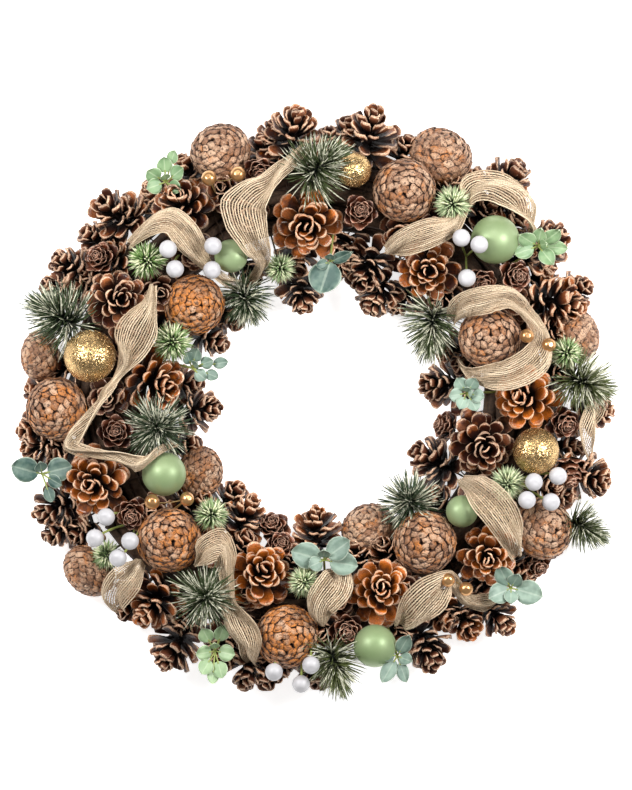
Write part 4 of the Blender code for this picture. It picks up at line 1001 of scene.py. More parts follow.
class Spiral(Recipe):
    """Scales, petals, needles or shields on a golden-angle spiral round an axis, with a core."""

    def __init__(self) -> None:
        """Writes the tree, with an input for each size of a Spread."""
        super().__init__()
        kinds = {"count": "Int"}
        spread = {item.name: self.given(item.name, kinds.get(item.name, "Float")) for item in fields(Spread)}
        size, seed, warmth = self.given("size"), self.given("seed", "Int"), self.given("warmth")
        index = self.node("GeometryNodeInputIndex")
        share = index / (spread["count"] - 1.0)
        level = spread["lowest"] + (spread["highest"] - spread["lowest"]) * share ** spread["crowding"]
        round_share = (1.0 - level * level).call("MAXIMUM", 0.0) ** 0.5
        across = (spread["waist"] + spread["belly"] * round_share) * size
        turn = index * GOLDEN_ANGLE + self.wander("turn_jitter", spread, seed, 1) + seed * 1.7
        place = self.vector(
            across * turn.call("COSINE"), across * turn.call("SINE"), level * spread["half_height"] * size
        )
        points = self.node("GeometryNodePoints", None, {"Count": spread["count"], "Position": place})
        points = self.store(points, "tone", self.random(0.0, 1.0, seed, 2))
        tilt = self.step("tilt", spread, share ** spread["tilt_power"]).call("RADIANS")
        slope = level.call("MAXIMUM", -1.0).call("MINIMUM", 1.0).call("ARCSINE")
        tilt = tilt + slope * spread["follow"] + self.wander("tilt_jitter", spread, seed, 3)
        euler = self.vector(self.wander("roll_jitter", spread, seed, 4), -tilt, turn)
        wobble = 1.0 + self.random(-1.0, 1.0, seed, 5) * spread["wobble"]
        length = self.step("length", spread, share) * size * wobble
        breadth = self.step("breadth", spread, share) * size * wobble
        shapes = self.node("GeometryNodeInstanceOnPoints", None, {
            "Points": points, "Instance": self.shape("template"), "Rotation": self.rotation(euler),
            "Scale": self.vector(length, breadth, length * spread["depth"]),
        })
        ball = self.node("GeometryNodeMeshUVSphere", None, {"Segments": 12, "Rings": 6, "Radius": 1.0})
        core_across = spread["core_across"] * size
        form = {"Geometry": ball, "Scale": self.vector(core_across, core_across, spread["core_along"] * size)}
        core = self.store(self.node("GeometryNodeTransform", None, form), "along", spread["core_mark"])
        whole = self.node("GeometryNodeRealizeInstances", None, {"Geometry": self.together(shapes, core)})
        whole = self.store(whole, "warmth", warmth)
        stand = {"Geometry": whole, "Translation": self.given("place", "Vector")}
        stand["Rotation"] = self.rotation(self.given("turn", "Vector"))
        self.end(self.node("GeometryNodeTransform", None, stand))

    def wander(self, name: str, spread: dict[str, Value], seed: Value, salt: int) -> Value:
        """Gives each shape its own small angle of up to the named number of degrees either way."""
        return self.random(-1.0, 1.0, seed, salt) * spread[name].call("RADIANS")

    def step(self, name: str, spread: dict[str, Value], share: Value) -> Value:
        """Gives the value that share of the way from a size's low to its high."""
        return mix(spread[f"{name}_low"], spread[f"{name}_high"], share)

    def grow(
        self, piece: Piece, spread: Spread, template: bpy.types.Object, material: bpy.types.Material,
        seed: int,
    ) -> bpy.types.Mesh:
        """Grows the shapes round a piece's axis.

        Args:
            piece: the cone, spray or tuft.
            spread: how the shapes stand.
            template: the shape that is repeated.
            material: the finish.
            seed: what the small differences start from.

        Returns:
            The mesh, in its place.
        """
        values: dict[str, object] = asdict(spread)
        turn = Vector(piece.axis).to_track_quat("Z", "Y").to_euler()
        values.update(size=piece.size, seed=seed, warmth=float(piece.warmth), template=template)
        values.update(turn=list(turn), place=piece.centre.tolist(), Material=material)
        return self.run(values)


class Strands(Recipe):
    """Tubes along the edges of a mesh of lines, as thick as the lines say: threads, wires, vines."""

    def __init__(self) -> None:
        """Writes the tree."""
        super().__init__()
        curve = self.node("GeometryNodeMeshToCurve", None, {"Mesh": self.shape("lines")})
        thick = self.node("GeometryNodeInputNamedAttribute", {"data_type": "FLOAT"}, {"Name": "thick"})
        profile = {"Resolution": self.given("sides", "Int"), "Radius": 1.0}
        profile = self.node("GeometryNodeCurvePrimitiveCircle", None, profile)
        inputs = {"Curve": curve, "Profile Curve": profile, "Scale": thick, "Fill Caps": True}
        self.end(self.node("GeometryNodeCurveToMesh", None, inputs))

    def draw(self, lines: "Lines", sides: int, material: bpy.types.Material) -> bpy.types.Mesh:
        """Makes every line a tube.

        Args:
            lines: the lines.
            sides: how many sides a tube has.
            material: the finish.

        Returns:
            The mesh.
        """
        guide = new_object("lines", lines.mesh())
        made = self.run({"lines": guide, "sides": sides, "Material": material})
        bpy.data.objects.remove(guide)
        return made


class Glitter(Recipe):
    """A ball with small flakes strewn over it, each a little out of line with its surface."""

    slant: float = 0.17

    def __init__(self) -> None:
        """Writes the tree."""
        super().__init__()
        radius, flake, seed = self.given("radius"), self.given("flake"), self.given("seed", "Int")
        ball = self.node("GeometryNodeMeshUVSphere", None, {"Segments": 64, "Rings": 32, "Radius": radius})
        points = {"Mesh": ball, "Density": self.given("density"), "Seed": seed}
        points = self.node(
            "GeometryNodeDistributePointsOnFaces", {"distribute_method": "RANDOM"}, points, "Points"
        )
        lie = [self.random(-self.slant, self.slant, seed, salt) for salt in (1, 2)]
        lie = self.rotation(self.vector(*lie, self.random(0.0, 3.0, seed, 3)))
        lie = {"Rotation": Value(self, points.socket.node.outputs["Rotation"]), "Rotate By": lie}
        size = flake * self.random(0.7, 1.3, seed, 4)
        flakes = self.node("GeometryNodeInstanceOnPoints", None, {
            "Points": self.store(points, "tone", self.random(0.1, 1.0, seed, 5)),
            "Instance": self.shape("template"),
            "Rotation": self.node("FunctionNodeRotateRotation", {"rotation_space": "LOCAL"}, lie),
            "Scale": self.vector(size, size, size),
        })
        stand = {"Geometry": self.together(ball, flakes), "Translation": self.given("place", "Vector")}
        self.end(self.node("GeometryNodeTransform", None, stand))


class Lines:
    """Lines being gathered, each with its own thickness and tone."""

    def __init__(self) -> None:
        """Starts without lines."""
        self.points: list[Array] = []
        self.edges: list[tuple[int, int]] = []
        self.thick: list[float] = []
        self.tone: list[float] = []

    def add(
        self, path: Array, thick: float | Sequence[float], tone: float = 0.5, closed: bool = False
    ) -> None:
        """Adds a line.

        Args:
            path: its points.
            thick: its radius, or one for each point.
            tone: a number between 0 and 1 for its colour.
            closed: whether its end meets its start.
        """
        first = len(self.points)
        self.points.extend(path)
        self.edges += [(first + index, first + index + 1) for index in range(len(path) - 1)]
        if closed:
            self.edges.append((len(self.points) - 1, first))
        self.thick.extend(np.broadcast_to(thick, len(path)))
        self.tone.extend([tone] * len(path))

    def mesh(self) -> bpy.types.Mesh:
        """Gives the lines as a mesh of edges."""
        mesh = bpy.data.meshes.new("lines")
        mesh.from_pydata(np.array(self.points).tolist(), self.edges, [])
        return mark(mesh, thick=self.thick, tone=self.tone)


def bent(start: Array, end: Array, bow: Array | float = 0.0, steps: int = 7) -> Array:
    """Gives the points of a wire from start to end that bows out in its middle."""
    shares = np.linspace(0, 1, steps)[:, None]
    return start + (end - start) * shares + bow * 4 * shares * (1 - shares)


# Shapes that are repeated. Each lies along +X from its root, with its face to +Z
@dataclass(frozen=True)
class Blade:
    """A scale, petal or leaf of length 1 and half width 1.

    Its sides rise by cup and its tip by curl. It is as wide at the root and tip, and as thick
    there, as the numbers say, and rounding cuts its tip's corners back.
    """

    cup: float
    curl: float
    root: float
    tip: float
    rounding: float
    thin: float
    thick: float
    widest: float = 0.65
    oval: bool = False
    rows: tuple[float, ...] = (0.0, 0.40, 0.78, 1.0)
    columns: tuple[float, ...] = (-1.0, -0.80, -0.42, 0.0, 0.42, 0.80, 1.0)
    edge_thinning: float = 0.35

    def half_width(self, share: float) -> float:
        """Gives the half width that share of the way from the root to the tip."""
        if self.oval:
            return max(self.root, math.sin(math.pi * share**0.92) ** 0.52)
        if share < self.widest:
            return mix(self.root, 1.0, math.sin(share / self.widest * math.pi / 2))
        return mix(1.0, self.tip, ((share - self.widest) / (1 - self.widest)) ** 2)

    def mesh(self, name: str) -> bpy.types.Mesh:
        """Makes the blade, with its length as along, its width as across and its underside as back."""
        grid = [(side, share, part) for side in (0, 1) for share in self.rows for part in self.columns]
        points = []
        for side, share, part in grid:
            belly = mix(self.thin, self.thick, share**2) * (1 - self.edge_thinning * part**2)
            rise = self.cup * part**2 * share + self.curl * share**2
            forward = share * (1 - self.rounding * part**2 * share)
            points.append((forward, part * self.half_width(share), rise - side * belly))
        back, along, across = zip(*grid)
        return mesh_of(name, points, self.faces(), along=along, across=across, back=back)

    def faces(self) -> list[tuple[int, ...]]:
        """Gives the corners of the faces: the face, the back and the wall between them."""
        long, wide = len(self.rows), len(self.columns)
        under = long * wide
        faces = []
        for row in range(long - 1):
            for column in range(wide - 1):
                near, far = row * wide + column, (row + 1) * wide + column
                faces.append((near, far, far + 1, near + 1))
                faces.append(tuple(corner + under for corner in (near, near + 1, far + 1, far)))
            left, right = row * wide, row * wide + wide - 1
            faces.append((left, left + under, left + wide + under, left + wide))
            faces.append((right, right + wide, right + wide + under, right + under))
        for column in range(wide - 1):
            root, tip = column, (long - 1) * wide + column
            faces.append((root, root + 1, root + 1 + under, root + under))
            faces.append((tip, tip + under, tip + 1 + under, tip + 1))
        return faces


def shield_mesh(power: float = 1.45, back_mark: float = 1.2) -> bpy.types.Mesh:
    """Makes a closed cone's shield: a rounded diamond that bulges to -Z, with a small knob.

    Args:
        power: how round the diamond is, from 1 to 2 for a circle.
        back_mark: what its back stores as along; above 1, the back takes the painted shade between shields.

    Returns:
        The mesh, with the distance from its middle as along.
    """
    profile = [(0.0, -0.42), (0.24, -0.31), (0.82, -0.21), (1.0, 0.12), (0.0, 0.30)]
    mesh = turned("shield", [(radius, -height) for radius, height in profile], 12)
    mesh.flip_normals()
    along = []
    for corner in mesh.vertices:
        x, y, z = corner.co
        turn = math.atan2(y, x)
        outline = (abs(math.cos(turn)) ** power + abs(math.sin(turn)) ** power) ** (-1 / power)
        corner.co = (x * outline, y * outline, -z)
        along.append(math.hypot(x, y) if z > -0.05 else back_mark)
    return mark(mesh, along=along)


def needle_mesh(stations: Sequence[tuple[float, float, float]]) -> bpy.types.Mesh:
    """Makes a three-sided needle.

    Args:
        stations: for each ring its place along, its radius and its rise; the last is the point.

    Returns:
        The mesh.
    """
    points, along = [], []
    for place, radius, rise in stations[:-1]:
        for turn in (0.0, math.tau / 3, 2 * math.tau / 3):
            points.append((place, radius * math.cos(turn), rise + radius * math.sin(turn)))
            along.append(place)
    points.append((stations[-1][0], 0.0, stations[-1][2]))
    along.append(1.0)
    faces, last = [(0, 2, 1)], len(points) - 1
    for ring in range(0, last - 3, 3):
        for side in range(3):
            near, far = ring + side, ring + (side + 1) % 3
            faces.append((near, far, far + 3, near + 3))
    faces += [(last - 3, last - 2, last), (last - 2, last - 1, last), (last - 1, last - 3, last)]
    return mesh_of("needle", points, faces, along=along)


def bead_hole(turn: float) -> float:
    """Gives how deep a bead's hole cuts into it, at an angle from its top."""
    if turn == 0:
        return 0.1
    return 0.03 * math.cos(turn) if turn < 0.3 else 0.0


def berry_dimple(turn: float) -> float:
    """Gives how deep a berry is dented, at an angle from its top."""
    return 0.12 * math.exp(-((turn / 0.28) ** 2))


def flake_mesh() -> bpy.types.Mesh:
    """Makes a flat glitter flake of radius 1."""
    points = [(1, 0, 0), (-0.5, 0.87, 0), (-0.5, -0.87, 0), (0, 0, 0.18)]
    return mesh_of("flake", points, [(0, 1, 3), (1, 2, 3), (2, 0, 3), (0, 2, 1)])


def template(mesh: bpy.types.Mesh) -> bpy.types.Object:
    """Keeps a shape aside for a recipe to repeat."""
    made = new_object(mesh.name, mesh)
    made.hide_render = True
    TEMPLATES.append(made)
    return made


TEMPLATES: list[bpy.types.Object] = []


# Finishes
@dataclass(frozen=True)
class ScaleFinish:
    """A cone's scales: dark at the root, partly darker inner wood and partly painted shade deep between the
    scales, brown to orange further out, with a worn pale rim.
    """

    # root: near black, painted shade at the scales' roots over the darker inner wood
    root: Colour
    dark: Colour
    warm: Colour
    worn: Colour
    rim: Colour
    back: Colour
    roughness: float
    rim_from: float = 0.92
    side_rim_from: float = 0.90

    def material(self, name: str) -> bpy.types.Material:
        """Makes the material."""
        shader = Shader(name)
        along, across, tone, warmth, back = shader.marks("along", "across", "tone", "warmth", "back")
        grain, cloud = shader.noise(900.0, 4.0), shader.noise(130.0)
        warm = warmth + (tone - 0.5) * 0.45 + (cloud - 0.5) * 1.6 + (along - 0.75) * 0.5
        body = shader.blend(warm.between(0.22, 0.98), self.dark, self.warm)
        body = shader.blend(back * 0.75, body, self.back)
        worn = (along * 0.8 + (cloud - 0.5) * 1.1 + (tone - 0.5) * 0.7 - warmth * 0.2).between(0.52, 0.85)
        body = shader.blend(worn * 0.55, body, self.worn)
        # Towards the root the colour turns near black: painted shade deep between the scales, over the wood's
        # darker inner part
        body = shader.blend(along.between(0.25, 0.95), self.root, body)
        body = shader.blend((grain - 0.45).between(0.0, 0.25) * 0.45, body, self.root)
        tip = (along + (grain - 0.5) * 0.16).between(self.rim_from, self.rim_from + 0.05)
        side = across.call("ABSOLUTE") + (grain - 0.5) * 0.20
        side = side.between(self.side_rim_from, self.side_rim_from + 0.08)
        rim = tip.call("MAXIMUM", side * along.between(0.45, 0.75))
        rim = rim * (0.35 + 0.45 * tone + 0.10 * warmth) * (0.35 + grain.between(0.38, 0.58) * 0.65)
        shader.relief(grain + cloud * 0.6, 0.6 * MM, 0.9)
        return shader.dress(
            Base_Color=shader.blend(rim, body, self.rim), Roughness=self.roughness + (grain - 0.5) * 0.25,
            Specular_IOR_Level=0.3, Coat_Weight=0.35 * (1.0 - back) * along.between(0.3, 0.7),
            Coat_Roughness=0.12,
        )


@dataclass(frozen=True)
class ShieldFinish:
    """A closed cone's shields: a pale knob in a dull face with painted highlights on its raised flecks, warm
    towards the edge, and painted shade in the pits and in the cracks between.
    """

    # knob: the paler weathered wood, and on raised flecks also a painted highlight
    knob: Colour
    face: Colour
    warm: Colour
    # gap: near black, painted shade in the cracks between shields, in the pits, on the backs and on the core
    gap: Colour
    roughness: float

    def material(self, name: str) -> bpy.types.Material:
        """Makes the material."""
        shader = Shader(name)
        along, tone, warmth = shader.marks("along", "tone", "warmth")
        grain, cloud = shader.noise(800.0, 4.0), shader.noise(90.0)
        warm = (warmth + (cloud - 0.5) * 1.9 + (tone - 0.5) * 0.2).between(0.15, 0.95) * (0.35 + along * 0.65)
        body = shader.blend(warm, self.face, self.warm)
        pits, flecks = shader.noise(420.0, 5.0), shader.noise(1300.0)
        # The knob colour on the raised flecks: partly paler weathered wood, partly a painted highlight on the
        # relief's high points
        pale = (flecks * 0.6 + tone * 0.35 - along * 0.10 - warm * 0.15).between(0.28, 0.60)
        body = shader.blend(pale * 0.85, body, self.knob)
        # Painted shade in the pits that the relief sinks
        body = shader.blend(pits.between(0.50, 0.64) * 0.8, body, self.gap)
        # Painted shade in the cracks at each shield's edge, and on its back and the core, whose along lies
        # above 1
        body = shader.blend((along + (grain - 0.5) * 0.30).between(0.82, 1.00), body, self.gap)
        shader.relief(flecks * 0.35 + grain * 0.5 - pits, 1.3 * MM)
        roughness = self.roughness + (grain - 0.5) * 0.2
        return shader.dress(Base_Color=body, Roughness=roughness, Specular_IOR_Level=0.4)


@dataclass(frozen=True)
class BaubleFinish:
    """A pearl-coated bauble, berry or bead."""

    colour: Colour
    shade: Colour
    metallic: float
    roughness: float
    coat: float = 0.0
    grain: float = 500.0

    def material(self, name: str) -> bpy.types.Material:
        """Makes the material."""
        shader = Shader(name)
        cloud, grain = shader.noise(45.0), shader.noise(self.grain, 3.0)
        shader.relief(grain, 0.05 * MM, 0.5)
        return shader.dress(
            Base_Color=shader.blend(cloud.between(0.3, 0.75) * 0.5 + grain * 0.15, self.colour, self.shade),
            Metallic=self.metallic, Roughness=self.roughness + (grain - 0.5) * 0.12,
            Coat_Weight=self.coat, Coat_Roughness=0.2,
        )


@dataclass(frozen=True)
class GlitterFinish:
    """Gold glitter: small mirrors, each with its own slant and shade."""

    pale: Colour
    deep: Colour
    roughness: float
    mirrors: float = 1600.0
    slant: float = 0.5

    def material(self, name: str) -> bpy.types.Material:
        """Makes the material."""
        shader = Shader(name)
        (tone,), cloud = shader.marks("tone"), shader.noise(70.0)
        cells = {"Vector": shader.place, "Scale": self.mirrors}
        cells = shader.node("ShaderNodeTexVoronoi", None, cells, "Color")
        shade = cells.call("DOT_PRODUCT", (0.5, 0.5, 0.0))
        slant = (cells - (0.5, 0.5, 0.5)) * (self.slant, self.slant, self.slant)
        normal = shader.node("ShaderNodeNewGeometry", output="Normal") + slant
        return shader.dress(
            Base_Color=shader.blend(tone * 0.4 + shade * 0.7 + cloud * 0.3, self.deep, self.pale),
            Metallic=1.0, Normal=normal.call("NORMALIZE"), Roughness=self.roughness + shade * 0.15,
        )


@dataclass(frozen=True)
class BurlapFinish:
    """Jute threads, each of its own tone, with darker and paler fibres along them; the wefts' low tones are
    painted shade between the warps.
    """

    pale: Colour
    deep: Colour
    roughness: float

    def material(self, name: str) -> bpy.types.Material:
        """Makes the material."""
        shader = Shader(name)
        (tone,), grain, cloud = shader.marks("tone"), shader.noise(1500.0, 3.0), shader.noise(160.0)
        body = shader.blend(tone * 0.5 + (grain - 0.5) * 0.9 + cloud * 0.35, self.deep, self.pale)
        shader.relief(grain, 0.4 * MM, 0.9)
        return shader.dress(Base_Color=body, Roughness=self.roughness, Sheen_Weight=0.15)


@dataclass(frozen=True)
class NeedleFinish:
    """Plastic needles, dark where they grow, partly their own deep green and partly painted shade deep in the
    spray, with frosted stretches and tips.
    """

    # root: near black, partly deep green and partly painted shade where the needles grow
    root: Colour
    middle: Colour
    mint: Colour
    frost: Colour
    frost_share: float
    roughness: float = 0.5

    def material(self, name: str) -> bpy.types.Material:
        """Makes the material."""
        shader = Shader(name)
        along, tone, warmth = shader.marks("along", "tone", "warmth")
        middle = shader.blend(warmth, self.middle, self.mint)
        # Towards the root the needles turn near black: painted shade deep in the spray; each needle is also
        # darkened at random by its tone
        body = shader.blend(along.between(0.0, 0.6), self.root, middle)
        body = shader.blend((tone - 0.5) * 0.5 + 0.25, body, self.root)
        frost = shader.noise(260.0, 3.0) + (tone - 0.5) * 0.75 + along * 0.30
        frost = frost.between(0.80 - self.frost_share, 0.94)
        body = shader.blend(frost, body, self.frost)
        return shader.dress(Base_Color=body, Roughness=self.roughness + frost * 0.2)


@dataclass(frozen=True)
class LeafFinish:
    """A powdery eucalyptus leaf with a paler rim and rib."""

    face: Colour
    deep: Colour
    rim: Colour
    roughness: float

    def material(self, name: str) -> bpy.types.Material:
        """Makes the material."""
        shader = Shader(name)
        along, across, tone = shader.marks("along", "across", "tone")
        across = across.call("ABSOLUTE")
        cloud, grain = shader.noise(120.0), shader.noise(700.0, 3.0)
        body = shader.blend(cloud.between(0.3, 0.7) * 0.35 + tone * 0.65, self.deep, self.face)
        rib = 1.0 - across.between(0.03, 0.12)
        edge = along.between(0.9, 1.0).call("MAXIMUM", across.between(0.86, 0.98))
        pale = edge.call("MAXIMUM", rib * 0.4) * 0.7 + (grain - 0.5) * 0.08
        shader.relief(grain - rib * 0.5, 0.25 * MM, 0.6)
        roughness = self.roughness + (grain - 0.5) * 0.15
        return shader.dress(Base_Color=shader.blend(pale, body, self.rim), Roughness=roughness)


@dataclass(frozen=True)
class BarkFinish:
    """Vine bark, or a wire's paint, with dark cracks and each strand's own shade."""

    pale: Colour
    deep: Colour
    roughness: float
    depth: float = 0.1 * MM

    def material(self, name: str) -> bpy.types.Material:
        """Makes the material."""
        shader = Shader(name)
        (tone,), grain, cloud = shader.marks("tone"), shader.noise(420.0, 5.0), shader.noise(60.0)
        body = shader.blend(tone * 0.5 + (grain - 0.5) * 1.2 + cloud * 0.3, self.deep, self.pale)
        shader.relief(grain, self.depth)
        return shader.dress(Base_Color=body, Roughness=self.roughness)


# Sub-assemblies
@dataclass
class Wiring:
    """The wires and stems that hold the pieces to the ring."""

    layout: Layout
    strands: Strands
    paint: bpy.types.Material
    stem_paint: bpy.types.Material
    wire_radius: float = 0.8 * MM

    def tie(self, node: str, pieces: Iterable[Piece]) -> None:
        """Wires pieces to the ring, each from its own root, as one piece named after their node."""
        lines = Lines()
        for piece in pieces:
            lines.add(bent(piece.root(), self.layout.into_ring(piece.root())), self.wire_radius, 0.4)
        self.finish(node + "_wires", lines, self.paint)

    def finish(self, name: str, lines: Lines, paint: bpy.types.Material) -> None:
        """Makes the lines one piece."""
        seat(new_object(name, self.strands.draw(lines, 6, paint)), "vine")


@dataclass
class ConeBunches:
    """Every bunch of open, closed and rose cones."""

    layout: Layout
    spiral: Spiral
    wiring: Wiring
    wood: bpy.types.Material
    open_spread: Spread = Spread(
        count=40, half_height=0.29, belly=0.075, tilt_low=-8, tilt_high=72, length_low=0.475,
        length_high=0.23, breadth_low=0.120, breadth_high=0.066, tilt_power=1.1, turn_jitter=12,
        tilt_jitter=14, roll_jitter=24, wobble=0.16, core_across=0.07,
    )
    rose_spread: Spread = Spread(
        count=30, highest=0.99, half_height=0.30, belly=0.085, tilt_low=10, tilt_high=84,
        length_low=0.60, length_high=0.20, breadth_low=0.28, breadth_high=0.10, tilt_power=0.8,
        tilt_jitter=6, core_across=0.08, core_along=0.33,
    )
    # core_mark above 1 gives the core between the shields the painted shade of the cracks
    closed_spread: Spread = Spread(
        count=108, lowest=-0.86, highest=0.997, half_height=0.36, belly=0.450, tilt_low=79,
        tilt_high=83, length_low=0.122, length_high=0.078, breadth_low=0.153, breadth_high=0.094,
        depth=1.15, follow=1.0, crowding=0.62, turn_jitter=3, tilt_jitter=5, roll_jitter=5,
        core_across=0.43, core_along=0.34, core_mark=1.3,
    )
    scale: Blade = Blade(0.05, 0.18, 0.30, 0.82, 0.10, 0.05, 0.115, widest=0.80)
    petal: Blade = Blade(0.20, 0.14, 0.5, 0.66, 0.20, 0.03, 0.05)

    def build(self) -> None:
        """Builds one piece for each bunch."""
        # The rose petals' first colour is near black: painted shade at the petals' roots
        rose = ScaleFinish(
            (0.005, 0.0015, 0.001), (0.070, 0.018, 0.009), (0.36, 0.085, 0.020), (0.24, 0.10, 0.060),
            (0.88, 0.56, 0.40), (0.09, 0.030, 0.014), 0.45,
        ).material("rose cone petals")
        # Shield colours: the knob, also a painted highlight on raised flecks; the face; the warm orange; the
        # gap, painted shade between shields
        shields = ShieldFinish(
            (0.68, 0.45, 0.30), (0.27, 0.130, 0.068), (0.70, 0.23, 0.030), (0.036, 0.013, 0.006), 0.55
        ).material("closed cone shields")
        looks = {
            OPEN: (self.open_spread, template(self.scale.mesh("cone scale")), self.wood),
            ROSE: (self.rose_spread, template(self.petal.mesh("cone petal")), rose),
            CLOSED: (self.closed_spread, template(shield_mesh()), shields),
        }
        seed = 0
        for node, pieces in self.layout.of(OPEN, CLOSED, ROSE).items():
            meshes = []
            for piece in pieces:
                seed += 1
                meshes.append(self.spiral.grow(piece, *looks[piece.kind], seed))
            seat(joined(node + "_scales", meshes), "cone_scales", node)
            self.wiring.tie(node, pieces)


@dataclass
class Filling:
    """Small dark cones low between the others, half hidden in the photograph."""

    layout: Layout
    spiral: Spiral
    wiring: Wiring
    wood: bpy.types.Material
    scale: Blade = replace(ConeBunches.scale, rows=(0.0, 0.6, 1.0), columns=(-1.0, -0.6, 0.0, 0.6, 1.0))
    spread: Spread = Spread(
        count=25, half_height=0.27, belly=0.08, tilt_low=-5, tilt_high=76, length_low=0.48,
        length_high=0.24, breadth_low=0.165, breadth_high=0.11, tilt_power=1.1, turn_jitter=9,
        tilt_jitter=11, roll_jitter=16, wobble=0.15, core_across=0.09,
    )
    width: float = 38.0
    lift: float = 9.0
    most: int = 82
    first_seed: int = 300
    least_gap: float = 7 * MM
    inner: float = 110 * MM
    outer: float = 227 * MM
    grid_step: float = 5 * MM
    grid_turn: float = 2.0
    around: float = 52 * MM
    most_lopsided: float = 0.42
    reach_share: float = 0.44
    own_reach_share: float = 0.40

    def spots(self) -> list[Sequence[float]]:
        """Finds where the small cones stand: the listed places, then those farthest from every piece.

        Returns:
            The places, across and up from the middle of the ring.
        """
        turns = np.radians(np.arange(0, 360, self.grid_turn))
        radii = np.arange(self.inner, self.outer, self.grid_step)
        spokes = [(math.cos(turn), math.sin(turn)) for turn in turns]
        grid = np.array([(radius * x, radius * y) for x, y in spokes for radius in radii])
        centres = np.array([(piece.centre - self.layout.shift)[:2] for piece in self.layout.pieces])
        reaches = np.array([piece.size * self.reach_share for piece in self.layout.pieces])
        away = grid[:, None] - centres[None]
        distances = np.linalg.norm(away, axis=2)
        near = (distances < self.around)[:, :, None]
        pull = (away / distances[:, :, None] * near).sum(axis=1) / near.sum(axis=1)
        lopsided = np.linalg.norm(pull, axis=1)
        gaps = (distances - reaches).min(axis=1)
        gaps[lopsided > self.most_lopsided] = 0.0
        own_reach = self.width * self.own_reach_share * MM
        chosen = [((x - PHOTO_CENTRE[0]) * PIXEL, (PHOTO_CENTRE[1] - y) * PIXEL) for x, y in SMALL_CONES]
        for spot in chosen:
            gaps = np.minimum(gaps, np.linalg.norm(grid - spot, axis=1) - own_reach)
        while len(chosen) < self.most and gaps.max() > self.least_gap:
            spot = grid[gaps.argmax()]
            chosen.append(spot)
            gaps = np.minimum(gaps, np.linalg.norm(grid - spot, axis=1) - own_reach)
        return chosen

    def build(self) -> None:
        """Builds all of them as one piece."""
        shape = template(self.scale.mesh("small scale"))
        meshes, cones = [], []
        for index, spot in enumerate(self.spots()):
            pixel = (PHOTO_CENTRE[0] + spot[0] / PIXEL, PHOTO_CENTRE[1] - spot[1] / PIXEL)
            # Warmth stays low: dark cones, partly their own colour and partly painted shade for the shaded
            # gaps they fill
            cone = Piece("filling", OPEN, pixel, self.width, warmth=(index * 7 % 10) / 22, lift=self.lift)
            cone.centre = cone.centre + self.layout.shift
            cones.append(cone)
            meshes.append(self.spiral.grow(cone, self.spread, shape, self.wood, self.first_seed + index))
        log.info("%d small cones fill the gaps", len(cones))
        seat(joined("filling_cones", meshes), "cone_scales")
        self.wiring.tie("filling_cones", cones)


@dataclass
class Baubles:
    """The green pearl baubles, the gold glitter balls, and pairs of gold beads on one wire."""

    layout: Layout
    glitter: Glitter
    wiring: Wiring
    flake: float = 0.55 * MM
    density: float = 700_000.0
    cap_share: float = 0.2
    cap_ridge: float = 0.92
    bead_stem_radius: float = 0.9 * MM
    bead_wire_radius: float = 0.45 * MM
    bow: float = 14 * MM

    def build(self) -> None:
        """Builds one piece for each ball and each pair of beads."""
        pearl = BaubleFinish((0.30, 0.385, 0.20), (0.19, 0.285, 0.115), 0.25, 0.47, 0.05)
        pearl = pearl.material("green pearl")
        gold = GlitterFinish((0.95, 0.68, 0.34), (0.24, 0.125, 0.032), 0.18).material("gold glitter")
        metal = BaubleFinish((0.55, 0.37, 0.14), (0.40, 0.25, 0.08), 1.0, 0.32).material("bauble cap")
        flake = template(flake_mesh())
        for seed, (node, pieces) in enumerate(self.layout.of(BALL).items()):
            ball = pieces[0]
            radius = ball.size / 2
            if node.startswith("gold"):
                slot = "gold_glitter"
                values = {"radius": radius, "flake": self.flake, "density": self.density, "seed": seed}
                values.update(template=flake, place=ball.centre.tolist(), Material=gold)
                shell = self.glitter.run(values)
            else:
                slot = "green_bauble"
                shell = placed(ball_mesh("ball", 32, 64), ball.centre, ball.axis, radius, pearl)
            cap = placed(self.cap(), ball.centre, -ball.axis, radius, metal)
            seat(joined(node + "_shell", [shell, cap]), slot, node)
            self.wiring.tie(node, pieces)
        self.build_beads()

    def cap(self) -> bpy.types.Mesh:
        """Makes a ridged cap with its stub, for a ball of radius 1."""
        share = self.cap_share
        profile = [(0.0, 1.2), (0.05, 1.2), (0.06, 1.1), (share * 0.8, 1.08), (share, 1.04), (share, 0.9)]
        cap = turned("cap", [*profile, (0.0, 0.88)], 40)
        for index, corner in enumerate(cap.vertices):
            if corner.co.z < 1.05 and index % 2:
                corner.co.x *= self.cap_ridge
                corner.co.y *= self.cap_ridge
        return cap

    def build_beads(self) -> None:
        """Builds the pairs of beads, each with its wire and its two stems."""
        pearl = BaubleFinish((0.66, 0.37, 0.16), (0.40, 0.19, 0.065), 0.85, 0.30, 0.2).material("gold bead")
        wire = BarkFinish((0.50, 0.34, 0.12), (0.26, 0.16, 0.06), 0.45).material("gold wire")
        for node, pieces in self.layout.of(BEAD).items():
            meshes, lines = [], Lines()
            for piece in pieces:
                bead = ball_mesh("bead", 16, 32, bead_hole)
                meshes.append(placed(bead, piece.centre, piece.axis, piece.size / 2, pearl))
                lines.add(bent(piece.centre, self.layout.into_ring(piece.centre)), self.bead_stem_radius)
            dip = -(pieces[0].axis + pieces[1].axis) / 2 * self.bow
            lines.add(bent(pieces[0].centre, pieces[1].centre, dip, 9), self.bead_wire_radius)
            meshes.append(self.wiring.strands.draw(lines, 6, wire))
            seat(joined(node + "_pair", meshes), "gold_bead", node)


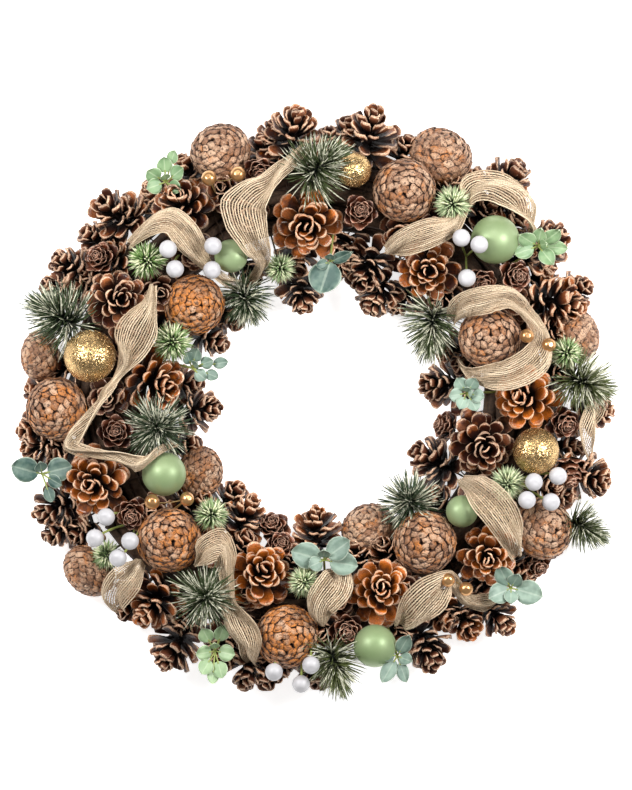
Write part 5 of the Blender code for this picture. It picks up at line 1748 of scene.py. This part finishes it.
@dataclass
class Greenery:
    """Pine sprays, needle tufts, eucalyptus sprigs and picks of white berries."""

    layout: Layout
    spiral: Spiral
    wiring: Wiring
    spray_spread: Spread = Spread(
        count=440, lowest=-1.0, highest=1.0, half_height=0.24, waist=0.012, belly=0.0, tilt_low=-5,
        tilt_high=82, length_low=0.52, length_high=0.41, breadth_low=0.0080, breadth_high=0.0072,
        depth=0.020, tilt_power=1.1, turn_jitter=12, tilt_jitter=16, roll_jitter=90, wobble=0.24,
        core_across=0.03, core_along=0.25,
    )
    tuft_spread: Spread = Spread(
        count=230, lowest=-0.75, highest=1.0, half_height=0.10, belly=0.10, tilt_low=0, tilt_high=0,
        length_low=0.44, length_high=0.44, breadth_low=0.030, breadth_high=0.030, depth=0.06,
        follow=1.0, turn_jitter=9, tilt_jitter=9, roll_jitter=60, wobble=0.14, core_across=0.12,
        core_along=0.12,
    )
    leaf: Blade = Blade(
        0.16, -0.06, 0.08, 0.08, 0.0, 0.02, 0.015, oval=True,
        rows=(0.0, 0.03, 0.11, 0.24, 0.4, 0.58, 0.76, 0.89, 0.97, 1.0), columns=(-1.0, -0.5, 0.0, 0.5, 1.0),
    )
    leaf_breadth: float = 1.15
    tone_range: float = 0.35
    leaf_stem_radius: float = 0.7 * MM
    stem_radius: float = 1.0 * MM
    first_seed: int = 100

    def build(self) -> None:
        """Builds the greenery, one piece for each kind on a node."""
        # In both needle finishes the first colour is the painted shade where the needles grow
        frosted = NeedleFinish(
            (0.005, 0.010, 0.004), (0.045, 0.080, 0.032), (0.160, 0.185, 0.050), (0.76, 0.75, 0.58), 0.07
        ).material("frosted needles")
        fresh = NeedleFinish(
            (0.020, 0.050, 0.012), (0.15, 0.28, 0.06), (0.44, 0.54, 0.30), (0.78, 0.80, 0.52), 0.18
        ).material("fresh needles")
        long = template(needle_mesh([(0, 0.8, 0), (0.35, 1.0, 1.2), (0.8, 0.8, 3.5), (1.0, 0, 5.5)]))
        short = template(needle_mesh([(0, 0.7, 0), (0.55, 1.0, 0.3), (1.0, 0, 0)]))
        looks = {
            SPRAY: ("_needles", self.spray_spread, long, frosted),
            TUFT: ("_tuft", self.tuft_spread, short, fresh),
        }
        self.build_sprigs()
        self.build_berries()
        seed = self.first_seed
        for kind, (word, *look) in looks.items():
            for node, pieces in self.layout.of(kind).items():
                meshes = []
                for piece in pieces:
                    seed += 1
                    meshes.append(self.spiral.grow(piece, *look, seed))
                stands = (node,) if node.startswith(("pine_spray", "needle_tuft")) else ()
                seat(joined(node + word, meshes), "pine_needles", *stands)
                self.wiring.tie(node + word, pieces)

    def build_sprigs(self) -> None:
        """Builds the eucalyptus sprigs, each with its leaves round a short stem."""
        powder = LeafFinish(
            (0.30, 0.40, 0.315), (0.032, 0.080, 0.066), (0.52, 0.60, 0.48), 0.5
        ).material("eucalyptus leaves")
        fresh = LeafFinish(
            (0.36, 0.49, 0.27), (0.085, 0.190, 0.075), (0.62, 0.70, 0.48), 0.45
        ).material("fresh leaves")
        for node, (piece,) in self.layout.of(SPRIG).items():
            meshes, lines = [], Lines()
            for turn, tilt, reach, length, half_width in SPRIGS[node]:
                leaf = self.leaf.mesh("leaf")
                tone = LEAF_TONES[node] + (turn * 7 % 11 / 10 - 0.5) * self.tone_range
                mark(leaf, tone=[tone] * len(leaf.vertices))
                heading = math.radians(turn)
                size = Matrix.Diagonal((length * MM, half_width * self.leaf_breadth * MM, length * MM, 1))
                lie = Euler((math.radians(turn % 37 - 18), -math.radians(tilt), heading))
                way = np.array((math.cos(heading), math.sin(heading), math.sin(math.radians(tilt))))
                foot = piece.centre + way * reach * MM
                leaf.transform(Matrix.Translation(Vector(foot)) @ lie.to_matrix().to_4x4() @ size)
                meshes.append(painted(leaf, fresh if node in FRESH_SPRIGS else powder))
                stem = bent(piece.centre - UP * 3 * MM, foot + way * 2 * MM, UP * 0.5 * MM, 5)
                lines.add(stem, self.leaf_stem_radius)
            lines.add(bent(piece.centre - UP * 2 * MM, self.layout.into_ring(piece.centre)), self.stem_radius)
            stands = (node,) if node.startswith("eucalyptus") else ()
            seat(joined(node + "_leaves", meshes), "eucalyptus_leaf", *stands)
            self.wiring.finish(node + "_sprig_stem", lines, self.wiring.stem_paint)

    def build_berries(self) -> None:
        """Builds the picks of white berries, each berry on a bent stem."""
        white = BaubleFinish((0.54, 0.525, 0.535), (0.44, 0.435, 0.455), 0.0, 0.45, 0.1)
        white = white.material("white berry")
        for node, pieces in self.layout.of(BERRY).items():
            meshes, lines = [], Lines()
            middle = np.mean([piece.centre for piece in pieces], axis=0)
            root = self.layout.into_ring(middle)
            for piece in pieces:
                berry = ball_mesh("berry", 16, 32, berry_dimple)
                meshes.append(placed(berry, piece.centre, piece.axis, piece.size / 2, white))
                start = piece.centre - piece.axis * piece.size * 0.45
                lines.add(bent(start, root, (start - middle) * 0.25 + UP * 2 * MM, 9), self.stem_radius)
            seat(joined(node + "_berries", meshes), "white_berry", node)
            self.wiring.finish(node + "_stems", lines, self.wiring.stem_paint)


@dataclass
class Burlap:
    """The burlap ribbons, each woven of jute threads."""

    layout: Layout
    strands: Strands
    wiring: Wiring
    cut_width: float = 38 * MM
    warps: int = 17
    weft_pitch: float = 1.7 * MM
    warp_radius: float = 0.60 * MM
    warp_share: float = 0.34
    thinnest: float = 0.36 * MM
    weft_radius: float = 0.22 * MM
    crossing: float = 0.72 * MM
    fold_length: float = 70 * MM
    most_slack: float = 0.7
    smoothing_rounds: int = 12
    first_seed: int = 11

    def build(self) -> None:
        """Builds one piece for each ribbon."""
        jute = BurlapFinish((1.0, 0.83, 0.60), (0.37, 0.25, 0.145), 0.9).material("jute")
        for seed, (node, rows) in enumerate(self.layout.ribbons.items()):
            surface = self.surface(rows, seed)
            ribbon = new_object(node + "_cloth", self.weave(surface, seed, jute))
            self.layout.under(rows)
            seat(ribbon, "burlap", node)
            lines = Lines()
            for end in (rows[0, 1], rows[-1, 1]):
                lines.add(bent(end, self.layout.into_ring(end)), self.wiring.wire_radius)
            self.wiring.finish(node + "_pins", lines, self.wiring.paint)

    def surface(self, rows: Array, seed: int) -> Array:
        """Lays the gathered cloth over the ribbon's rows.

        Args:
            rows: rows of three points across the ribbon.
            seed: which way the folds run.

        Returns:
            For each weft its crossing with each warp, as points.
        """
        guides = [np.concatenate((row[1], row[0], row[2])) for row in rows]
        guides = np.array(smooth_path(guides, self.weft_pitch))
        middle, left, right = guides[:, :3], guides[:, 3:6], guides[:, 6:]
        chord = np.linalg.norm(right - left, axis=1)
        normals = normal_rows(np.gradient(middle, axis=0), right - left)
        outward = middle - self.layout.shift - np.array([ring_middle(p - self.layout.shift) for p in middle])
        sides = np.sign(np.einsum("ij,ij->i", normals, outward))
        normals *= np.where(sides == 0, 1.0, sides)[:, None]
        for _ in range(self.smoothing_rounds):
            normals[1:-1] = (normals[:-2] + normals[1:-1] * 2 + normals[2:]) / 4
        normals /= np.linalg.norm(normals, axis=1)[:, None]
        height = chord * np.sqrt(np.clip(self.cut_width / chord - 1, 0, self.most_slack)) / math.pi
        travelled = np.arange(len(middle)) * self.weft_pitch
        points = []
        for part in (np.arange(self.warps) * 2 + 1) / self.warps - 1:
            base = middle * (1 - part**2) + left * (part**2 - part) / 2 + right * (part**2 + part) / 2
            phase = math.pi * part * 1.15 + travelled / self.fold_length * math.tau + seed * 1.9
            lift = height * (0.75 + 0.8 * np.sin(phase)) * (1 - 0.3 * part**2)
            points.append(base + normals * lift[:, None])
        return np.array(points).transpose(1, 0, 2)

    def weave(self, surface: Array, seed: int, jute: bpy.types.Material) -> bpy.types.Mesh:
        """Weaves the ribbon: thick warps along it, and fine wefts over and under them.

        Args:
            surface: for each weft its crossing with each warp.
            seed: what the threads' differences start from.
            jute: the finish.

        Returns:
            The mesh.
        """
        chance = np.random.default_rng(seed + self.first_seed)
        warps, wefts = Lines(), Lines()
        pitch = np.linalg.norm(np.diff(surface[::2], axis=1), axis=2).mean(axis=1)
        for column in range(self.warps):
            path = surface[::2, column] + chance.normal(0, 0.12 * MM, (len(surface[::2]), 3))
            thick = np.clip(pitch * self.warp_share, self.thinnest, self.warp_radius)
            warps.add(path, thick * chance.uniform(0.85, 1.15, len(path)), float(chance.random()))
        normals = normal_rows(np.gradient(surface, axis=0), np.gradient(surface, axis=1))
        for index in range(len(surface)):
            sides = np.where((np.arange(self.warps) + index) % 2, 1.0, -1.0)
            path = surface[index] + normals[index] * (sides * self.crossing)[:, None]
            path = path + chance.normal(0, 0.1 * MM, path.shape)
            thick = self.weft_radius * float(chance.uniform(0.8, 1.3))
            # The wefts take low tones: painted shade in the gaps between the warps
            wefts.add(path, thick, float(chance.uniform(-0.7, 0.1)))
        both = joined("cloth", [self.strands.draw(warps, 5, jute), self.strands.draw(wefts, 3, jute)])
        mesh = both.data
        bpy.data.objects.remove(both)
        return mesh


def normal_rows(one: Array, other: Array) -> Array:
    """Gives the unit vectors square to each pair of vectors."""
    normals = np.cross(one, other)
    return normals / np.maximum(np.linalg.norm(normals, axis=-1), 1e-12)[..., None]


@dataclass
class VineRing:
    """The ring of bent vines and its binding wire."""

    layout: Layout
    strands: Strands
    vines: int = 28
    steps: int = 110
    thin: float = 3.4 * MM
    thick: float = 4.8 * MM
    swing: float = 0.30
    bindings: int = 34
    binding_steps: int = 24
    binding_radius: float = 0.6 * MM
    first_seed: int = 5

    def build(self) -> None:
        """Builds the vines as one piece and the binding as another."""
        # The bark's dark browns are partly the vines' own colour and partly painted shade, so the ring reads
        # dark where it shows between the pieces
        bark = BarkFinish((0.115, 0.062, 0.034), (0.018, 0.010, 0.006), 0.85, 0.8 * MM).material("vine bark")
        chance = np.random.default_rng(self.first_seed)
        turns = np.arange(self.steps) * math.tau / self.steps
        vines = Lines()
        for index in range(self.vines):
            radius = float(chance.uniform(self.thin, self.thick))
            share = math.sqrt((index + 0.5) / self.vines)
            start = (index * GOLDEN_ANGLE * 2.0) % math.pi
            waves, phase = int(chance.integers(2, 5)), float(chance.uniform(0, math.tau))
            section = np.clip(start + self.swing * np.sin(waves * turns + phase), 0.0, math.pi)
            depth = np.minimum(share * (1 + 0.08 * np.sin((waves + 1) * turns + phase)), 1.0)
            vines.add(self.in_ring(turns, section, depth, radius), radius, float(chance.random()), True)
        ring = new_object("base_ring_vines", self.strands.draw(vines, 6, bark))
        seat(ring, "vine", "base_ring")
        binding = Lines()
        steps = np.arange(self.bindings * self.binding_steps)
        round_ring, round_section = steps / len(steps) * math.tau, steps / self.binding_steps * math.tau
        path = self.in_ring(round_ring, round_section, np.ones(len(steps)), self.binding_radius)
        binding.add(path, self.binding_radius, 0.2, True)
        wire = new_object("base_ring_binding", self.strands.draw(binding, 6, bark))
        seat(wire, "vine")

    def in_ring(self, turns: Array, section: Array, share: Array, margin: float) -> Array:
        """Gives points inside the ring's half-elliptic section.

        Args:
            turns: the angles round the ring.
            section: the angles round its section, from outside over the top to inside.
            share: how far out in the section, up to 1.
            margin: how far the points stay inside it.

        Returns:
            The points.
        """
        radius = RING_RADIUS + (BASE_HALF_WIDTH - margin) * share * np.cos(section)
        upward = BASE_MIDDLE + (BASE_HALF_HEIGHT - margin) * share * np.sin(section)
        points = (radius * np.cos(turns), radius * np.sin(turns), np.maximum(upward, margin))
        return np.stack(points, axis=1) + self.layout.shift


# Studio
@dataclass
class Studio:
    """The pale floor, the soft lights and the camera straight above the wreath."""

    layout: Layout
    height: float = 1.6
    floor_size: float = 6.0
    floor_glow: float = 0.75
    world_glow: float = 0.25

    def build(self) -> None:
        """Sets the floor, the lights and the camera."""
        scene = bpy.context.scene
        white = BaubleFinish((0.93, 0.93, 0.93), (0.90, 0.90, 0.90), 0.0, 0.8, 0.0, 200.0).material("floor")
        surface = white.node_tree.nodes["Principled BSDF"].inputs
        surface["Emission Color"].default_value = (1.0, 1.0, 1.0, 1.0)
        surface["Emission Strength"].default_value = self.floor_glow
        half = self.floor_size / 2
        corners = [(-half, -half, 0), (half, -half, 0), (half, half, 0), (-half, half, 0)]
        floor = new_object("floor", painted(mesh_of("floor", corners, [(0, 1, 2, 3)]), white))
        self.light("left softbox", (-0.85, 0.40, 1.1), 0.45, 17.0)
        self.light("right softbox", (0.90, 0.25, 1.0), 0.45, 18.0)
        self.light("top softbox", (0.0, 0.9, 1.3), 0.6, 6.0)
        scene.world = bpy.data.worlds.new("studio")
        scene.world.use_nodes = True
        background = scene.world.node_tree.nodes["Background"].inputs
        background["Color"].default_value = (1.0, 1.0, 1.0, 1.0)
        background["Strength"].default_value = self.world_glow
        scene.view_settings.view_transform = "Standard"
        lens = bpy.data.cameras.new("camera")
        lens.type = "ORTHO"
        lens.ortho_scale = PHOTO_SIZE[1] * PIXEL
        camera = bpy.data.objects.new("camera", lens)
        middle_x = (PHOTO_SIZE[0] / 2 - PHOTO_CENTRE[0]) * PIXEL
        middle_y = (PHOTO_CENTRE[1] - PHOTO_SIZE[1] / 2) * PIXEL
        camera.location = Vector(self.layout.shift) + Vector((middle_x, middle_y, self.height))
        scene.collection.objects.link(camera)
        scene.camera = camera

    def light(self, name: str, place: tuple[float, float, float], size: float, power: float) -> None:
        """Hangs a square softbox that faces the wreath."""
        lamp = bpy.data.lights.new(name, "AREA")
        lamp.shape = "SQUARE"
        lamp.size = size
        lamp.energy = power
        holder = bpy.data.objects.new(name, lamp)
        holder.location = place
        holder.rotation_euler = (-Vector(place)).to_track_quat("-Z", "Y").to_euler()
        bpy.context.scene.collection.objects.link(holder)


def main() -> None:
    """Builds the wreath and its studio."""
    logging.basicConfig(level=logging.INFO, format="%(message)s")
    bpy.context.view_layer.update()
    layout = Layout()
    spiral, strands, glitter = Spiral(), Strands(), Glitter()
    paint = BarkFinish((0.10, 0.07, 0.035), (0.035, 0.028, 0.016), 0.5).material("brown wire")
    stem_paint = BarkFinish((0.42, 0.44, 0.12), (0.20, 0.26, 0.07), 0.5).material("green stem")
    # The first colour is near black: painted shade at the scales' roots
    wood = ScaleFinish(
        (0.004, 0.0010, 0.0005), (0.060, 0.0120, 0.0038), (0.66, 0.165, 0.012),
        (0.250, 0.098, 0.050), (0.98, 0.68, 0.46), (0.120, 0.034, 0.013), 0.50,
    ).material("open cone scales")
    wiring = Wiring(layout, strands, paint, stem_paint)
    Studio(layout).build()
    VineRing(layout, strands).build()
    ConeBunches(layout, spiral, wiring, wood).build()
    Filling(layout, spiral, wiring, wood).build()
    Baubles(layout, glitter, wiring).build()
    Greenery(layout, spiral, wiring).build()
    Burlap(layout, strands, wiring).build()
    for shape in TEMPLATES:
        bpy.data.objects.remove(shape)


if __name__ == "__main__":
    main()
